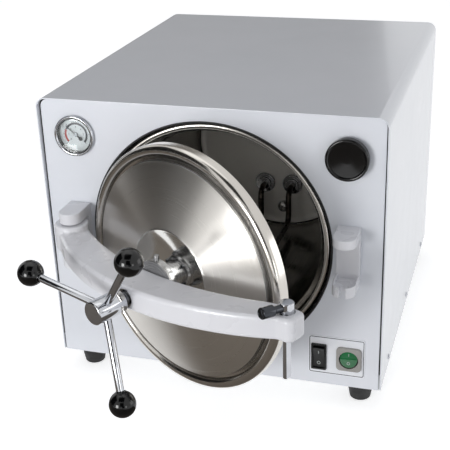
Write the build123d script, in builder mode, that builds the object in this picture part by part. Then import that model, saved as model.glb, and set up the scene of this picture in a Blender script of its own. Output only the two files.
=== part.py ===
from build123d import *
import math
import os

# Tabletop dental autoclave: a painted sheet case round a lying steel pressure
# chamber, closed by a round lid that a swinging crossbar carries on a screw.
# Frame: X to the right, Y to the back, Z up. While the pieces are drawn, the
# face of the front panel is at Y = 0, the chamber's axis is at X = 0, and the
# floor is at Z = 0. The door is drawn shut and turned open when it is written.
# All sizes are millimetres.

# Case
case_width = 400
case_height = 330
case_depth = 448
cover_sheet = 1.5
cover_corner = 12
cover_lip = 6
panel_gap = 1.8
panel_sheet = 2
panel_return = 12
pan_sheet = 2
pan_height = 20
sheet_clearance = 0.2

# Feet
foot_height = 28
foot_top_diameter = 34
foot_bottom_diameter = 25
foot_inset_side = 28
foot_inset_front = 28
foot_inset_rear = 30
foot_round = 2.5

# Screws along the cover's bottom edges
cover_screw_diameter = 7
cover_screw_head = 2
cover_screw_height = 11
cover_screw_count = 3
cover_screw_inset = 60

# Chamber
axis_height = 170.5
chamber_bore = 250
chamber_wall = 2
chamber_depth = 321
chamber_back = 3
rim_front = 4.5
rim_outer_radius = 139
rim_bead_width = 9
rim_throat = 11
rim_socket = 12
rim_bevel = 4
rim_step = 1
trim_clearance = 0.8
trim_width = 2.2
trim_overhang = 1.2
trim_bevel = 0.6
jacket_thickness = 10
jacket_start = 45
jacket_length = 270
saddle_sheet = 2.5
saddle_overhang = 1
saddle_drop = 42
saddle_rear_gap = 8
saddle_flange = 16
saddle_inset = 4

# Heater tube inside the chamber
heater_tube = 8
heater_spacing = 41
heater_offset = -4.5
heater_entry_height = 110
heater_floor_gap = 10
heater_front_gap = 60
heater_bend = 15
heater_reach = 20
heater_tail = 6
fitting_diameter = 30
fitting_length = 7
fitting_nut_diameter = 19.2
probe_diameter = 17
probe_length = 9
probe_height = 75
probe_offset = 3
probe_round = 2

# Brackets on the front panel
bracket_spacing = 318
bracket_shift = 1
bracket_width = 26
bracket_height = 68
bracket_plate = 8
bracket_reach = 42
ear_gap = 42
hinge_offset = 28
hinge_pin_diameter = 10
hinge_blind = 9
hinge_head_diameter = 16
hinge_head_height = 2.5
ear_round = 1.2
running_fit = 0.05
spacer_diameter = 19
spacer_gap = 0.3

# Crossbar
bar_height = 25.5
bar_hinge_radius = 19.5
bar_hinge_rise = 7
bar_lock_front = 15
bar_lock_back = 12
bar_front_reach = 64
bar_back_bow = 21
bar_back_end = 26
bar_end_length = 16
bar_corner = 8
bar_edge = 4.5
bush_wall = 3
bush_setback = 1

# Lid
lid_setback = 0.2
lid_rim_depth = 14
lid_stand_off = 15.5
lid_bead = 12
lid_groove = 3
lid_shoulder = 1.8
lid_step = 0.5
lid_land = 3
lid_rise_share = 0.56
dish_radius = 52
dish_rise = 15.5
dish_floor_radius = 20
dish_depth = 14
dish_lip = 1.5
dish_fall_share = 0.62
lid_sheet = 5
liner_sheet = 1.5
liner_inset = 5
gasket_inner_radius = 130.5
gasket_width = 7.5
gasket_depth = 3
gasket_proud = 1

# Clamping screw and star handle
screw_diameter = 16
thread_pitch = 4
thread_depth = 1.1
thread_run_out = 4
screw_fit = 0.12
nut_diameter = 20.5
nut_flange_diameter = 50
nut_flange = 9
nut_peg_diameter = 6
nut_peg_length = 8
nut_peg_sink = 2
journal_diameter = 11
journal_length = 15
collar_diameter = 18
collar_length = 4
collar_setback = 3
boss_diameter = 28
boss_flange_diameter = 42
boss_flange = 3
boss_height = 19
boss_screw_diameter = 4
boss_screw_count = 4
boss_screw_head = 3
hub_diameter = 25
hub_length = 37
hub_gap = 6
hub_wall = 4
hub_bevel = 0.8
rod_diameter = 8.5
rod_count = 3
rod_tilt = 10
rod_seat = 6
ball_diameter = 28
ball_radius_out = 97
ball_flat = 5
star_turn_at_rest = 51

# Lock pin at the crossbar's free end
lock_shaft_diameter = 12
lock_head_diameter = 15
lock_head_height = 10.5
lock_head_clearance = 0.45
lock_tail_diameter = 8.5
lock_tail_flats = 5
lock_tail_length = 48
lock_handle_neck = 8.5
lock_handle_end = 12
lock_handle_length = 25
lock_handle_cone = 2
lock_handle_grip = 14
lock_handle_rise = 6
lock_handle_lead = 12
lock_handle_lift = 4.9
lock_handle_sink = 1.5
lock_bevel = 0.7
keyhole_clearance = 0.35
keyhole_slot = 7
pocket_rim = 2
pocket_depth = 5

# Pressure gauge
gauge_inset = 43
gauge_height = 286
gauge_diameter = 48
gauge_bezel_depth = 4.5
gauge_window = 41
gauge_case_wall = 1.3
gauge_case_depth = 24
gauge_dial_sheet = 1
gauge_dial_recess = 3
gauge_lens_sheet = 1.2
gauge_lip = 1.2
gauge_edge = 1.5
gauge_stem = 10
gauge_stem_length = 16
needle_length = 15
needle_tail = 7
needle_width = 1.6
needle_sheet = 0.6
needle_weight = 4.4
needle_hub = 5
needle_at_rest = 140
needle_pivot = 1.6
needle_tip = 0.4
needle_gap = 0.8
pivot_set_back = 0.5

# Vent knob and its valve
knob_inset = 43
knob_height = 283
knob_diameter = 47
knob_depth = 9
knob_gap = 1.5
knob_rim = 4
knob_dish = 3
knob_shaft = 8
knob_edge = 1.5
knob_hollow_share = 0.85
knob_end_gap = 2
valve_diameter = 26
valve_length = 38
valve_nut_diameter = 22
valve_nut = 1.2
valve_neck_diameter = 16
valve_floor = 6
pipe_diameter = 6
pipe_bend = 10
pipe_rear_run = 20
gauge_port_offset = -40
vent_port_offset = 40
port_height = 290

# Switch plate
plate_inset = 52
plate_height = 39
plate_width = 66
plate_tall = 50
plate_sheet = 0.8
plate_corner = 3
rocker_offset = -20.5
rocker_height = 37
rocker_width = 13
rocker_tall = 27
rocker_frame = 2
rocker_frame_depth = 2.5
housing_wall = 1
power_offset = 14.5
power_height = 37.8
power_width = 29
power_tall = 30
power_corner = 5
power_frame_depth = 3.5
power_diameter = 20
power_wall = 2
power_set_back = 2
switch_body_depth = 22
switch_pivot_depth = 4
switch_tilt = 7
switch_face_rise = 2
switch_clearance = 0.3
switch_travel_gap = 1.2
switch_floor = 5
switch_skirt = 1.5
trunnion_diameter = 2.4
trunnion_length = 1

# Rear fittings
slot_width = 60
slot_tall = 4
slot_pitch = 12
slot_rows = 6
slot_height = 200
inlet_inset = 80
inlet_height = 45
inlet_width = 48
inlet_tall = 30
inlet_frame = 4
inlet_frame_depth = 3
inlet_body_depth = 26
inlet_pocket_depth = 16
inlet_blade = 2
inlet_blade_spacing = 14
spigot_inset = 80
spigot_height = 28
spigot_diameter = 8
spigot_bore = 4
spigot_length = 22
spigot_hex = 16
spigot_hex_length = 8
drain_setback = 118
safety_x = 60
safety_height = 240
safety_diameter = 18
safety_length = 20
safety_ring = 22
safety_ring_wire = 2
safety_neck_diameter = 10
safety_taper = 2
safety_tip = 6

# Poses in which the parts are written
door_angle = 25.4

# Places that follow from these sizes
base_z = foot_height
top_z = base_z + case_height
axis_z = base_z + axis_height
side_x = case_width / 2
gauge_x = gauge_inset - side_x
knob_x = side_x - knob_inset
plate_x = side_x - plate_inset
rocker_x = plate_x + rocker_offset
power_x = plate_x + power_offset
inlet_x = side_x - inlet_inset
spigot_x = spigot_inset - side_x
drain_reach = case_depth - drain_setback
trim_bore_radius = rim_outer_radius + trim_clearance
saddle_width = 2 * (rim_outer_radius + saddle_overhang)
lid_radius = rim_outer_radius - lid_setback
lid_face_radius = lid_radius - lid_bead - lid_groove - lid_shoulder
bore_radius = chamber_bore / 2
shell_radius = bore_radius + chamber_wall
seat_y = rim_front + rim_bead_width / 2 + rim_throat
back_y = seat_y + chamber_depth
hinge_x = bracket_shift - bracket_spacing / 2
lock_x = bracket_shift + bracket_spacing / 2
hinge_y = -hinge_offset
bar_top = axis_z + bar_height / 2
bar_bottom = axis_z - bar_height / 2
bar_front_y = hinge_y - bar_front_reach
bar_back_y = hinge_y - bar_back_bow
lid_front_y = hinge_y + lid_stand_off
lid_back_y = lid_front_y + lid_rim_depth
dish_y = lid_front_y - dish_rise
dish_floor_y = dish_y + dish_depth
hub_back_y = bar_front_y - hub_gap
hub_front_y = hub_back_y - hub_length
ball_y = hub_front_y
ear_top = axis_z + ear_gap / 2
bracket_top = axis_z + bracket_height / 2
bracket_bottom = axis_z - bracket_height / 2
head_top = bar_top + lock_head_height
panel_width = case_width - 2 * cover_sheet - 2 * panel_gap
panel_top = top_z - cover_sheet - panel_gap
panel_corner = cover_corner - cover_sheet - panel_gap
pan_width = case_width - 2 * cover_sheet - 2 * sheet_clearance
pan_top = base_z + pan_height
hole_radius = trim_bore_radius + trim_width / 2
screw_axis = Axis((0, 0, axis_z), (0, 1, 0))


def facing(y):
    """An upright plane at depth y that faces the front, with Z up."""
    return Plane(origin=(0, y, 0), x_dir=(1, 0, 0), z_dir=(0, -1, 0))


def level(z):
    """A level plane at height z."""
    return Plane.XY.offset(z)


def radial(x, z):
    """The plane of a turned profile: its x runs back, its y away from the axis."""
    return Plane(origin=(x, 0, z), x_dir=(0, 1, 0), z_dir=(1, 0, 0))


def turning(x, z):
    """The axis that goes with the plane of a turned profile."""
    return Axis((x, 0, z), (0, 1, 0))


def arch_face(width, bottom, top, corner):
    """The outline of an upright rectangle with round top corners."""
    half = width / 2
    FilletPolyline((-half, bottom), (-half, top), (half, top), (half, bottom), radius=corner)
    Line((half, bottom), (-half, bottom))


finished = []
door_pieces = []


def keep(name, part, on_door=False):
    """Labels a finished piece and notes whether it swings with the door."""
    part.label = name
    finished.append(part)
    if on_door:
        door_pieces.append(name)


# Case: one bent cover over a tray, closed by a front and a rear panel

with BuildPart() as cover:
    with BuildSketch(facing(case_depth)):
        with BuildLine():
            arch_face(case_width, base_z, top_z, cover_corner)
        make_face()
        with BuildLine():
            arch_face(case_width - 2 * cover_sheet, base_z, top_z - cover_sheet,
                      cover_corner - cover_sheet)
        make_face(mode=Mode.SUBTRACT)
    extrude(amount=case_depth + cover_lip)
    with BuildSketch(Plane.YZ):
        with BuildLine():
            Polyline((0, base_z), (-cover_lip, top_z), (-2 * cover_lip, top_z),
                     (-2 * cover_lip, base_z), close=True)
        make_face()
    extrude(amount=case_width, both=True, mode=Mode.SUBTRACT)
keep("cover", cover.part)

with BuildPart() as base_pan:
    pan_length = case_depth - 2 * panel_sheet
    with BuildSketch(level(base_z)):
        with Locations((0, case_depth / 2)):
            Rectangle(pan_width, pan_length)
    extrude(amount=pan_height)
    with BuildSketch(level(base_z + pan_sheet)):
        with Locations((0, case_depth / 2)):
            Rectangle(pan_width - 2 * pan_sheet, pan_length - 2 * pan_sheet)
    extrude(amount=pan_height, mode=Mode.SUBTRACT)
    with BuildSketch(level(base_z)):
        with Locations((0, case_depth / 2)):
            with GridLocations(slot_width * 1.5, slot_pitch, 2, slot_rows):
                SlotOverall(slot_width, slot_tall)
    extrude(amount=pan_sheet, mode=Mode.SUBTRACT)
keep("base_pan", base_pan.part)

rocker_hole_width = rocker_width + 2 * switch_clearance + 2 * housing_wall
rocker_hole_tall = rocker_tall + 2 * switch_travel_gap + 2 * housing_wall
power_body_diameter = power_diameter + 2 * switch_travel_gap + 2 * power_wall

with BuildPart() as front_panel:
    with BuildSketch(facing(panel_sheet)):
        with BuildLine():
            arch_face(panel_width, base_z, panel_top, panel_corner)
        make_face()
        with Locations((0, axis_z)):
            Circle(hole_radius, mode=Mode.SUBTRACT)
        with Locations((gauge_x, base_z + gauge_height)):
            Circle(gauge_window / 2 + gauge_case_wall, mode=Mode.SUBTRACT)
        with Locations((knob_x, base_z + knob_height)):
            Circle(valve_neck_diameter / 2, mode=Mode.SUBTRACT)
        with Locations((rocker_x, base_z + rocker_height)):
            Rectangle(rocker_hole_width, rocker_hole_tall, mode=Mode.SUBTRACT)
        with Locations((power_x, base_z + power_height)):
            Circle(power_body_diameter / 2, mode=Mode.SUBTRACT)
    extrude(amount=panel_sheet)
    with BuildSketch(facing(panel_sheet + panel_return)):
        with BuildLine():
            arch_face(panel_width, pan_top + panel_gap, panel_top, panel_corner)
        make_face()
        with BuildLine():
            arch_face(panel_width - 2 * cover_sheet, pan_top + panel_gap,
                      panel_top - cover_sheet, panel_corner - cover_sheet)
        make_face(mode=Mode.SUBTRACT)
    extrude(amount=panel_return)
keep("front_panel", front_panel.part)

inlet_hole_width = inlet_width - 2 * inlet_frame
inlet_hole_tall = inlet_tall - 2 * inlet_frame

with BuildPart() as rear_panel:
    with BuildSketch(facing(case_depth)):
        with BuildLine():
            arch_face(panel_width, base_z, panel_top, panel_corner)
        make_face()
        with Locations((0, base_z + slot_height)):
            with GridLocations(slot_width * 1.5, slot_pitch, 2, slot_rows):
                SlotOverall(slot_width, slot_tall, mode=Mode.SUBTRACT)
        with Locations((inlet_x, base_z + inlet_height)):
            Rectangle(inlet_hole_width, inlet_hole_tall, mode=Mode.SUBTRACT)
        with Locations((spigot_x, base_z + spigot_height)):
            Circle(spigot_diameter / 2, mode=Mode.SUBTRACT)
        with Locations((safety_x, base_z + safety_height)):
            Circle(safety_neck_diameter / 2, mode=Mode.SUBTRACT)
    extrude(amount=panel_sheet)
keep("rear_panel", rear_panel.part)

with BuildPart() as cover_screws:
    run = (case_depth - 2 * cover_screw_inset) / (cover_screw_count - 1)
    for side in (-1, 1):
        for step in range(cover_screw_count):
            spot = (side * case_width / 2, cover_screw_inset + step * run,
                    base_z + cover_screw_height)
            with BuildSketch(Plane(origin=spot, x_dir=(0, 1, 0), z_dir=(side, 0, 0))):
                Circle(cover_screw_diameter / 2)
            extrude(amount=cover_screw_head, taper=20)
keep("cover_screws", cover_screws.part)

foot_names = ("foot_front_left", "foot_front_right", "foot_rear_left", "foot_rear_right")
foot_x = case_width / 2 - foot_inset_side
foot_spots = ((-foot_x, foot_inset_front), (foot_x, foot_inset_front),
              (-foot_x, case_depth - foot_inset_rear), (foot_x, case_depth - foot_inset_rear))
for foot_name, spot in zip(foot_names, foot_spots):
    with BuildPart() as foot:
        with BuildSketch(level(0)):
            with Locations(spot):
                Circle(foot_bottom_diameter / 2)
        with BuildSketch(level(foot_height)):
            with Locations(spot):
                Circle(foot_top_diameter / 2)
        loft()
        fillet(foot.edges().sort_by(Axis.Z)[0], foot_round)
    keep(foot_name, foot.part)

# Chamber: a drawn shell, its rolled rim, the rubber trim and what holds them

with BuildPart() as chamber:
    with BuildSketch(radial(0, axis_z)):
        with BuildLine():
            Polyline((seat_y, bore_radius), (back_y, bore_radius), (back_y, 0),
                     (back_y + chamber_back, 0), (back_y + chamber_back, shell_radius),
                     (seat_y, shell_radius), close=True)
        make_face()
    revolve(axis=screw_axis)
    with BuildSketch(facing(back_y + chamber_back)):
        with Locations((heater_offset, base_z + heater_entry_height)):
            with GridLocations(heater_spacing, 1, 2, 1):
                Circle(heater_tube / 2)
    extrude(amount=chamber_back, mode=Mode.SUBTRACT)
keep("chamber", chamber.part)

with BuildPart() as rim_ring:
    crown_y = rim_front + rim_bead_width / 2
    bead_inner = rim_outer_radius - rim_bead_width
    socket_radius = shell_radius + chamber_wall
    with BuildSketch(radial(0, axis_z)):
        with BuildLine():
            ThreePointArc((crown_y, rim_outer_radius),
                          (rim_front, rim_outer_radius - rim_bead_width / 2),
                          (crown_y, bead_inner))
            Polyline((crown_y, bead_inner), (seat_y - rim_bevel, bead_inner), (seat_y, bore_radius),
                     (seat_y, shell_radius), (seat_y + rim_socket, shell_radius),
                     (seat_y + rim_socket, socket_radius), (seat_y + chamber_wall, socket_radius),
                     (seat_y - rim_bevel / 2, bead_inner - rim_step),
                     (crown_y + rim_bevel, rim_outer_radius), (crown_y, rim_outer_radius))
        make_face()
    revolve(axis=screw_axis)
keep("rim_ring", rim_ring.part)

with BuildPart() as hole_trim:
    trim_back = panel_sheet + trim_overhang
    with BuildSketch(radial(0, axis_z)):
        with BuildLine():
            Polyline((-trim_overhang, trim_bore_radius + trim_bevel),
                     (-trim_overhang + trim_bevel, trim_bore_radius),
                     (trim_back, trim_bore_radius),
                     (trim_back, trim_bore_radius + trim_width),
                     (panel_sheet, trim_bore_radius + trim_width),
                     (panel_sheet, hole_radius), (0, hole_radius),
                     (0, trim_bore_radius + trim_width),
                     (-trim_overhang, trim_bore_radius + trim_width), close=True)
        make_face()
    revolve(axis=screw_axis)
keep("hole_trim", hole_trim.part)

with BuildPart() as jacket:
    with BuildSketch(radial(0, axis_z)):
        with Locations((jacket_start + jacket_length / 2, shell_radius + jacket_thickness / 2)):
            Rectangle(jacket_length, jacket_thickness)
    revolve(axis=screw_axis)
keep("jacket", jacket.part)


def make_saddle(front_y, cradle_radius):
    """A sheet plate that stands on the tray and carries the chamber in its cut."""
    with BuildPart() as saddle:
        with BuildSketch(facing(front_y + saddle_sheet)):
            with BuildLine():
                Polyline((-saddle_width / 2, base_z + pan_sheet),
                         (saddle_width / 2, base_z + pan_sheet),
                         (saddle_width / 2, axis_z - saddle_drop),
                         (-saddle_width / 2, axis_z - saddle_drop), close=True)
            make_face()
            with Locations((0, axis_z)):
                Circle(cradle_radius, mode=Mode.SUBTRACT)
        extrude(amount=saddle_sheet)
        with BuildSketch(level(base_z + pan_sheet)):
            with Locations((0, front_y + saddle_sheet + saddle_flange / 2)):
                Rectangle(saddle_width, saddle_flange)
        extrude(amount=saddle_sheet)
    return saddle.part


keep("front_saddle", make_saddle(seat_y + rim_socket - saddle_sheet - saddle_inset,
                                 shell_radius + chamber_wall))
keep("rear_saddle", make_saddle(jacket_start + jacket_length + saddle_rear_gap, shell_radius))

# Heater loop, its two fittings and the temperature probe, on the back wall

heater_floor_z = axis_z - bore_radius + heater_floor_gap + heater_tube / 2
heater_left = heater_offset - heater_spacing / 2
heater_right = heater_offset + heater_spacing / 2
heater_entry_z = base_z + heater_entry_height
heater_drop_y = back_y - fitting_length - heater_reach
heater_end_y = back_y + chamber_back + heater_tail
heater_front_y = seat_y + heater_front_gap

with BuildPart() as heater:
    with BuildLine() as heater_path:
        FilletPolyline((heater_left, heater_end_y, heater_entry_z),
                       (heater_left, heater_drop_y, heater_entry_z),
                       (heater_left, heater_drop_y, heater_floor_z),
                       (heater_left, heater_front_y, heater_floor_z),
                       (heater_right, heater_front_y, heater_floor_z),
                       (heater_right, heater_drop_y, heater_floor_z),
                       (heater_right, heater_drop_y, heater_entry_z),
                       (heater_right, heater_end_y, heater_entry_z),
                       radius=heater_bend)
    with BuildSketch(Plane(origin=heater_path.line @ 0, z_dir=heater_path.line % 0)):
        Circle(heater_tube / 2)
    sweep()
keep("heater", heater.part)

with BuildPart() as heater_fittings:
    with BuildSketch(facing(back_y)):
        with Locations((heater_offset, heater_entry_z)):
            with GridLocations(heater_spacing, 1, 2, 1):
                Circle(fitting_diameter / 2)
    extrude(amount=fitting_length / 2)
    with BuildSketch(facing(back_y)):
        with Locations((heater_offset, heater_entry_z)):
            with GridLocations(heater_spacing, 1, 2, 1):
                Circle(fitting_nut_diameter / 2)
    extrude(amount=fitting_length)
    with BuildSketch(facing(back_y)):
        with Locations((heater_offset, heater_entry_z)):
            with GridLocations(heater_spacing, 1, 2, 1):
                Circle(heater_tube / 2)
    extrude(amount=fitting_length, mode=Mode.SUBTRACT)
keep("heater_fittings", heater_fittings.part)

with BuildPart() as probe:
    with BuildSketch(facing(back_y)):
        with Locations((probe_offset, base_z + probe_height)):
            Circle(probe_diameter / 2)
    extrude(amount=probe_length)
    fillet(probe.edges().sort_by(Axis.Y)[0], probe_round)
keep("probe", probe.part)


# Brackets: each a plate with two D-shaped ears

def ear_outline(centre_x):
    """The plan of an ear: straight sides and a round front."""
    half = bracket_width / 2
    front = -bracket_reach
    Polyline((centre_x - half, front + half), (centre_x - half, 0), (centre_x + half, 0),
             (centre_x + half, front + half))
    ThreePointArc((centre_x + half, front + half), (centre_x, front),
                  (centre_x - half, front + half))


def make_bracket(centre_x, upper_ear_bottom):
    """A bracket body whose upper ear starts at the given height."""
    half = bracket_width / 2
    with BuildPart() as body:
        with BuildSketch(facing(0)):
            with Locations((centre_x, axis_z)):
                Rectangle(bracket_width, bracket_height)
        extrude(amount=bracket_plate)
        for bottom, top in ((bracket_bottom, axis_z - ear_gap / 2),
                            (upper_ear_bottom, bracket_top)):
            with BuildSketch(level(bottom)):
                with BuildLine():
                    ear_outline(centre_x)
                make_face()
            extrude(amount=top - bottom)
        fillet(body.edges().filter_by(GeomType.CIRCLE).group_by(Axis.Z)[-1], ear_round)
    return body.part


left_body = make_bracket(hinge_x, ear_top)
with BuildPart() as left_bracket:
    add(left_body)
    with BuildSketch(level(bracket_bottom)):
        with Locations((hinge_x, hinge_y)):
            Circle(hinge_pin_diameter / 2)
    extrude(amount=ear_top + hinge_blind - bracket_bottom, mode=Mode.SUBTRACT)
keep("left_bracket", left_bracket.part)

right_body = make_bracket(lock_x, head_top + lock_head_clearance)
lower_ear_top = axis_z - ear_gap / 2
with BuildPart() as right_bracket:
    add(right_body)
    pocket_half = bracket_width / 2 - pocket_rim
    pocket_front = -bracket_reach + pocket_rim
    with BuildSketch(level(lower_ear_top - pocket_depth)):
        with BuildLine():
            Polyline((lock_x - pocket_half, pocket_front + pocket_half),
                     (lock_x - pocket_half, -bracket_plate),
                     (lock_x + pocket_half, -bracket_plate),
                     (lock_x + pocket_half, pocket_front + pocket_half))
            ThreePointArc((lock_x + pocket_half, pocket_front + pocket_half),
                          (lock_x, pocket_front),
                          (lock_x - pocket_half, pocket_front + pocket_half))
        make_face()
    extrude(amount=pocket_depth, mode=Mode.SUBTRACT)
    with BuildSketch(level(bracket_bottom)):
        with Locations((lock_x, hinge_y)):
            Circle(lock_tail_diameter / 2 + keyhole_clearance)
        with Locations((lock_x, hinge_y - bracket_reach / 2)):
            Rectangle(keyhole_slot, bracket_reach)
    extrude(amount=lower_ear_top - bracket_bottom, mode=Mode.SUBTRACT)
keep("right_bracket", right_bracket.part)

with BuildPart() as hinge_pin:
    with BuildSketch(level(bracket_bottom)):
        with Locations((hinge_x, hinge_y)):
            Circle(hinge_pin_diameter / 2)
    extrude(amount=ear_top + hinge_blind - bracket_bottom)
    with BuildSketch(level(bracket_bottom)):
        with Locations((hinge_x, hinge_y)):
            Circle(hinge_head_diameter / 2)
    extrude(amount=-hinge_head_height)
keep("hinge_pin", hinge_pin.part)

with BuildPart() as hinge_spacers:
    spacer_height = ear_gap / 2 - bar_height / 2 - spacer_gap
    washer_height = spacer_height - bar_hinge_rise
    for bottom, height in ((lower_ear_top, spacer_height),
                           (ear_top - washer_height, washer_height)):
        with BuildSketch(level(bottom)):
            with Locations((hinge_x, hinge_y)):
                Circle(spacer_diameter / 2)
                Circle(hinge_pin_diameter / 2, mode=Mode.SUBTRACT)
        extrude(amount=height)
keep("hinge_spacers", hinge_spacers.part)

# Crossbar: an arched casting from the hinge to the lock, with its bushes

hinge_bush_radius = hinge_pin_diameter / 2 + running_fit + bush_wall
lock_bush_radius = lock_shaft_diameter / 2 + running_fit + bush_wall

with BuildPart() as crossbar:
    end_front = hinge_y - bar_hinge_radius
    end_back = hinge_y + bar_hinge_radius
    lock_front = hinge_y - bar_lock_front
    lock_back = hinge_y + bar_lock_back
    end_x = lock_x + bar_end_length
    chord = bracket_spacing / 2
    back_rise = bar_back_bow + bar_hinge_radius
    back_radius = (chord ** 2 + back_rise ** 2) / (2 * back_rise)
    back_half = chord - bar_back_end
    back_end_y = bar_back_y + back_radius - math.sqrt(back_radius ** 2 - back_half ** 2)
    middle_x = bracket_shift
    with BuildSketch(level(bar_bottom)):
        with BuildLine():
            ThreePointArc((hinge_x, end_front), (middle_x, bar_front_y), (lock_x, lock_front))
            Polyline((lock_x, lock_front), (end_x, lock_front), (end_x, lock_back),
                     (lock_x - bar_corner, lock_back), (middle_x + back_half, back_end_y))
            ThreePointArc((middle_x + back_half, back_end_y), (middle_x, bar_back_y),
                          (middle_x - back_half, back_end_y))
            Line((middle_x - back_half, back_end_y), (hinge_x, end_back))
            ThreePointArc((hinge_x, end_back), (hinge_x - bar_hinge_radius, hinge_y),
                          (hinge_x, end_front))
        make_face()
    extrude(amount=bar_height)
    uprights = crossbar.edges().filter_by(Axis.Z)
    end_corners = uprights.filter_by(lambda edge: edge.center().X > end_x - 0.01)
    fillet(end_corners, bar_corner)
    uprights = crossbar.edges().filter_by(Axis.Z)
    bends = uprights.filter_by(lambda edge: edge.center().X < lock_x + 0.01)
    bends = bends.filter_by(lambda edge: edge.center().X > hinge_x - 0.01)
    fillet(bends, bar_corner)
    rims = crossbar.faces().filter_by(Axis.Z).edges()
    fillet(rims, bar_edge)
    with BuildSketch(level(axis_z)):
        with Locations((hinge_x, hinge_y)):
            Circle(bar_hinge_radius)
    extrude(amount=bar_height / 2 + bar_hinge_rise)
    fillet(crossbar.edges().group_by(Axis.Z)[-1], bar_edge / 2)
    for spot, radius in (((hinge_x, hinge_y), hinge_bush_radius),
                         ((lock_x, hinge_y), lock_bush_radius)):
        with BuildSketch(level(bar_bottom)):
            with Locations(spot):
                Circle(radius)
        extrude(amount=bar_height + bar_hinge_rise, mode=Mode.SUBTRACT)
    with BuildSketch(facing(0)):
        with Locations((0, axis_z)):
            Circle(nut_diameter / 2)
    extrude(amount=case_depth, mode=Mode.SUBTRACT)
    with BuildSketch(facing(0)):
        with Locations((0, axis_z)):
            Circle(nut_flange_diameter / 2)
    extrude(amount=-bar_back_y, mode=Mode.SUBTRACT)
keep("crossbar", crossbar.part, on_door=True)


def make_bush(spot, bore_diameter, outer_radius, height):
    """A plain bearing bush pressed into the crossbar."""
    with BuildPart() as bush:
        with BuildSketch(level(bar_bottom)):
            with Locations(spot):
                Circle(outer_radius)
                Circle(bore_diameter / 2 + running_fit, mode=Mode.SUBTRACT)
        extrude(amount=height)
    return bush.part


hinge_bush = make_bush((hinge_x, hinge_y), hinge_pin_diameter, hinge_bush_radius,
                       bar_height + bar_hinge_rise)
lock_bush = make_bush((lock_x, hinge_y), lock_shaft_diameter, lock_bush_radius, bar_height)
keep("hinge_bush", hinge_bush, on_door=True)
keep("lock_bush", lock_bush, on_door=True)

nut_front_y = bar_front_y + bush_setback
nut_back_y = bar_back_y + nut_flange
with BuildPart() as nut_bush:
    nut_bore = screw_diameter / 2 + screw_fit
    with BuildSketch(radial(0, axis_z)):
        with BuildLine():
            Polyline((nut_front_y, nut_bore), (nut_back_y, nut_bore),
                     (nut_back_y, nut_flange_diameter / 2),
                     (bar_back_y, nut_flange_diameter / 2), (bar_back_y, nut_diameter / 2),
                     (nut_front_y, nut_diameter / 2), close=True)
        make_face()
    revolve(axis=screw_axis)
    with BuildSketch(level(axis_z + nut_flange_diameter / 2 - nut_peg_sink)):
        with Locations((0, bar_back_y + nut_flange / 2)):
            Circle(nut_peg_diameter / 2)
    extrude(amount=nut_peg_length)
keep("nut_bush", nut_bush.part, on_door=True)

# Lid: a turned steel door with a bead, a groove, a coned face and a mirror dish

with BuildPart() as lid:
    bead_inner_radius = lid_radius - lid_bead
    groove_inner_radius = bead_inner_radius - lid_groove
    bead_round = lid_bead / 2
    with BuildSketch(radial(0, axis_z)):
        with BuildLine():
            Line((lid_back_y, lid_radius), (lid_front_y + bead_round, lid_radius))
            ThreePointArc((lid_front_y + bead_round, lid_radius),
                          (lid_front_y, lid_radius - bead_round),
                          (lid_front_y + bead_round, bead_inner_radius))
            Polyline((lid_front_y + bead_round, bead_inner_radius),
                     (lid_front_y + bead_round + 1, groove_inner_radius),
                     (lid_front_y - lid_step, lid_face_radius),
                     (lid_front_y - lid_step, lid_face_radius - lid_land))
            ThreePointArc((lid_front_y - lid_step, lid_face_radius - lid_land),
                          (lid_front_y - dish_rise * lid_rise_share,
                           (lid_face_radius + dish_radius) / 2 + 1),
                          (dish_y, dish_radius))
            Line((dish_y, dish_radius), (dish_y, dish_radius - dish_lip))
            ThreePointArc((dish_y, dish_radius - dish_lip),
                          (dish_y + dish_depth * dish_fall_share, (dish_radius + dish_floor_radius) / 2),
                          (dish_floor_y, dish_floor_radius))
            Polyline((dish_floor_y, dish_floor_radius), (dish_floor_y, 0),
                     (dish_floor_y + lid_sheet, 0),
                     (dish_floor_y + lid_sheet, dish_floor_radius - 3),
                     (dish_y + lid_sheet, dish_radius - 4),
                     (dish_y + lid_sheet, dish_radius + 4),
                     (lid_front_y + lid_sheet, lid_face_radius - 6),
                     (lid_back_y - liner_sheet, gasket_inner_radius - 9),
                     (lid_back_y - liner_sheet, gasket_inner_radius - liner_inset),
                     (lid_back_y, gasket_inner_radius - liner_inset),
                     (lid_back_y, gasket_inner_radius),
                     (lid_back_y - gasket_depth, gasket_inner_radius),
                     (lid_back_y - gasket_depth, gasket_inner_radius + gasket_width),
                     (lid_back_y, gasket_inner_radius + gasket_width),
                     (lid_back_y, lid_radius))
        make_face()
    revolve(axis=screw_axis)
keep("lid", lid.part, on_door=True)

with BuildPart() as lid_liner:
    liner_radius = gasket_inner_radius - liner_inset
    with BuildSketch(facing(lid_back_y)):
        with Locations((0, axis_z)):
            Circle(liner_radius)
    extrude(amount=liner_sheet)
keep("lid_liner", lid_liner.part, on_door=True)

with BuildPart() as lid_gasket:
    with BuildSketch(radial(0, axis_z)):
        with BuildLine():
            Polyline((lid_back_y - gasket_depth, gasket_inner_radius),
                     (lid_back_y, gasket_inner_radius),
                     (lid_back_y + gasket_proud, gasket_inner_radius + 1),
                     (lid_back_y + gasket_proud, gasket_inner_radius + gasket_width - 1),
                     (lid_back_y, gasket_inner_radius + gasket_width),
                     (lid_back_y - gasket_depth, gasket_inner_radius + gasket_width),
                     close=True)
        make_face()
    revolve(axis=screw_axis)
keep("lid_gasket", lid_gasket.part, on_door=True)

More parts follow.
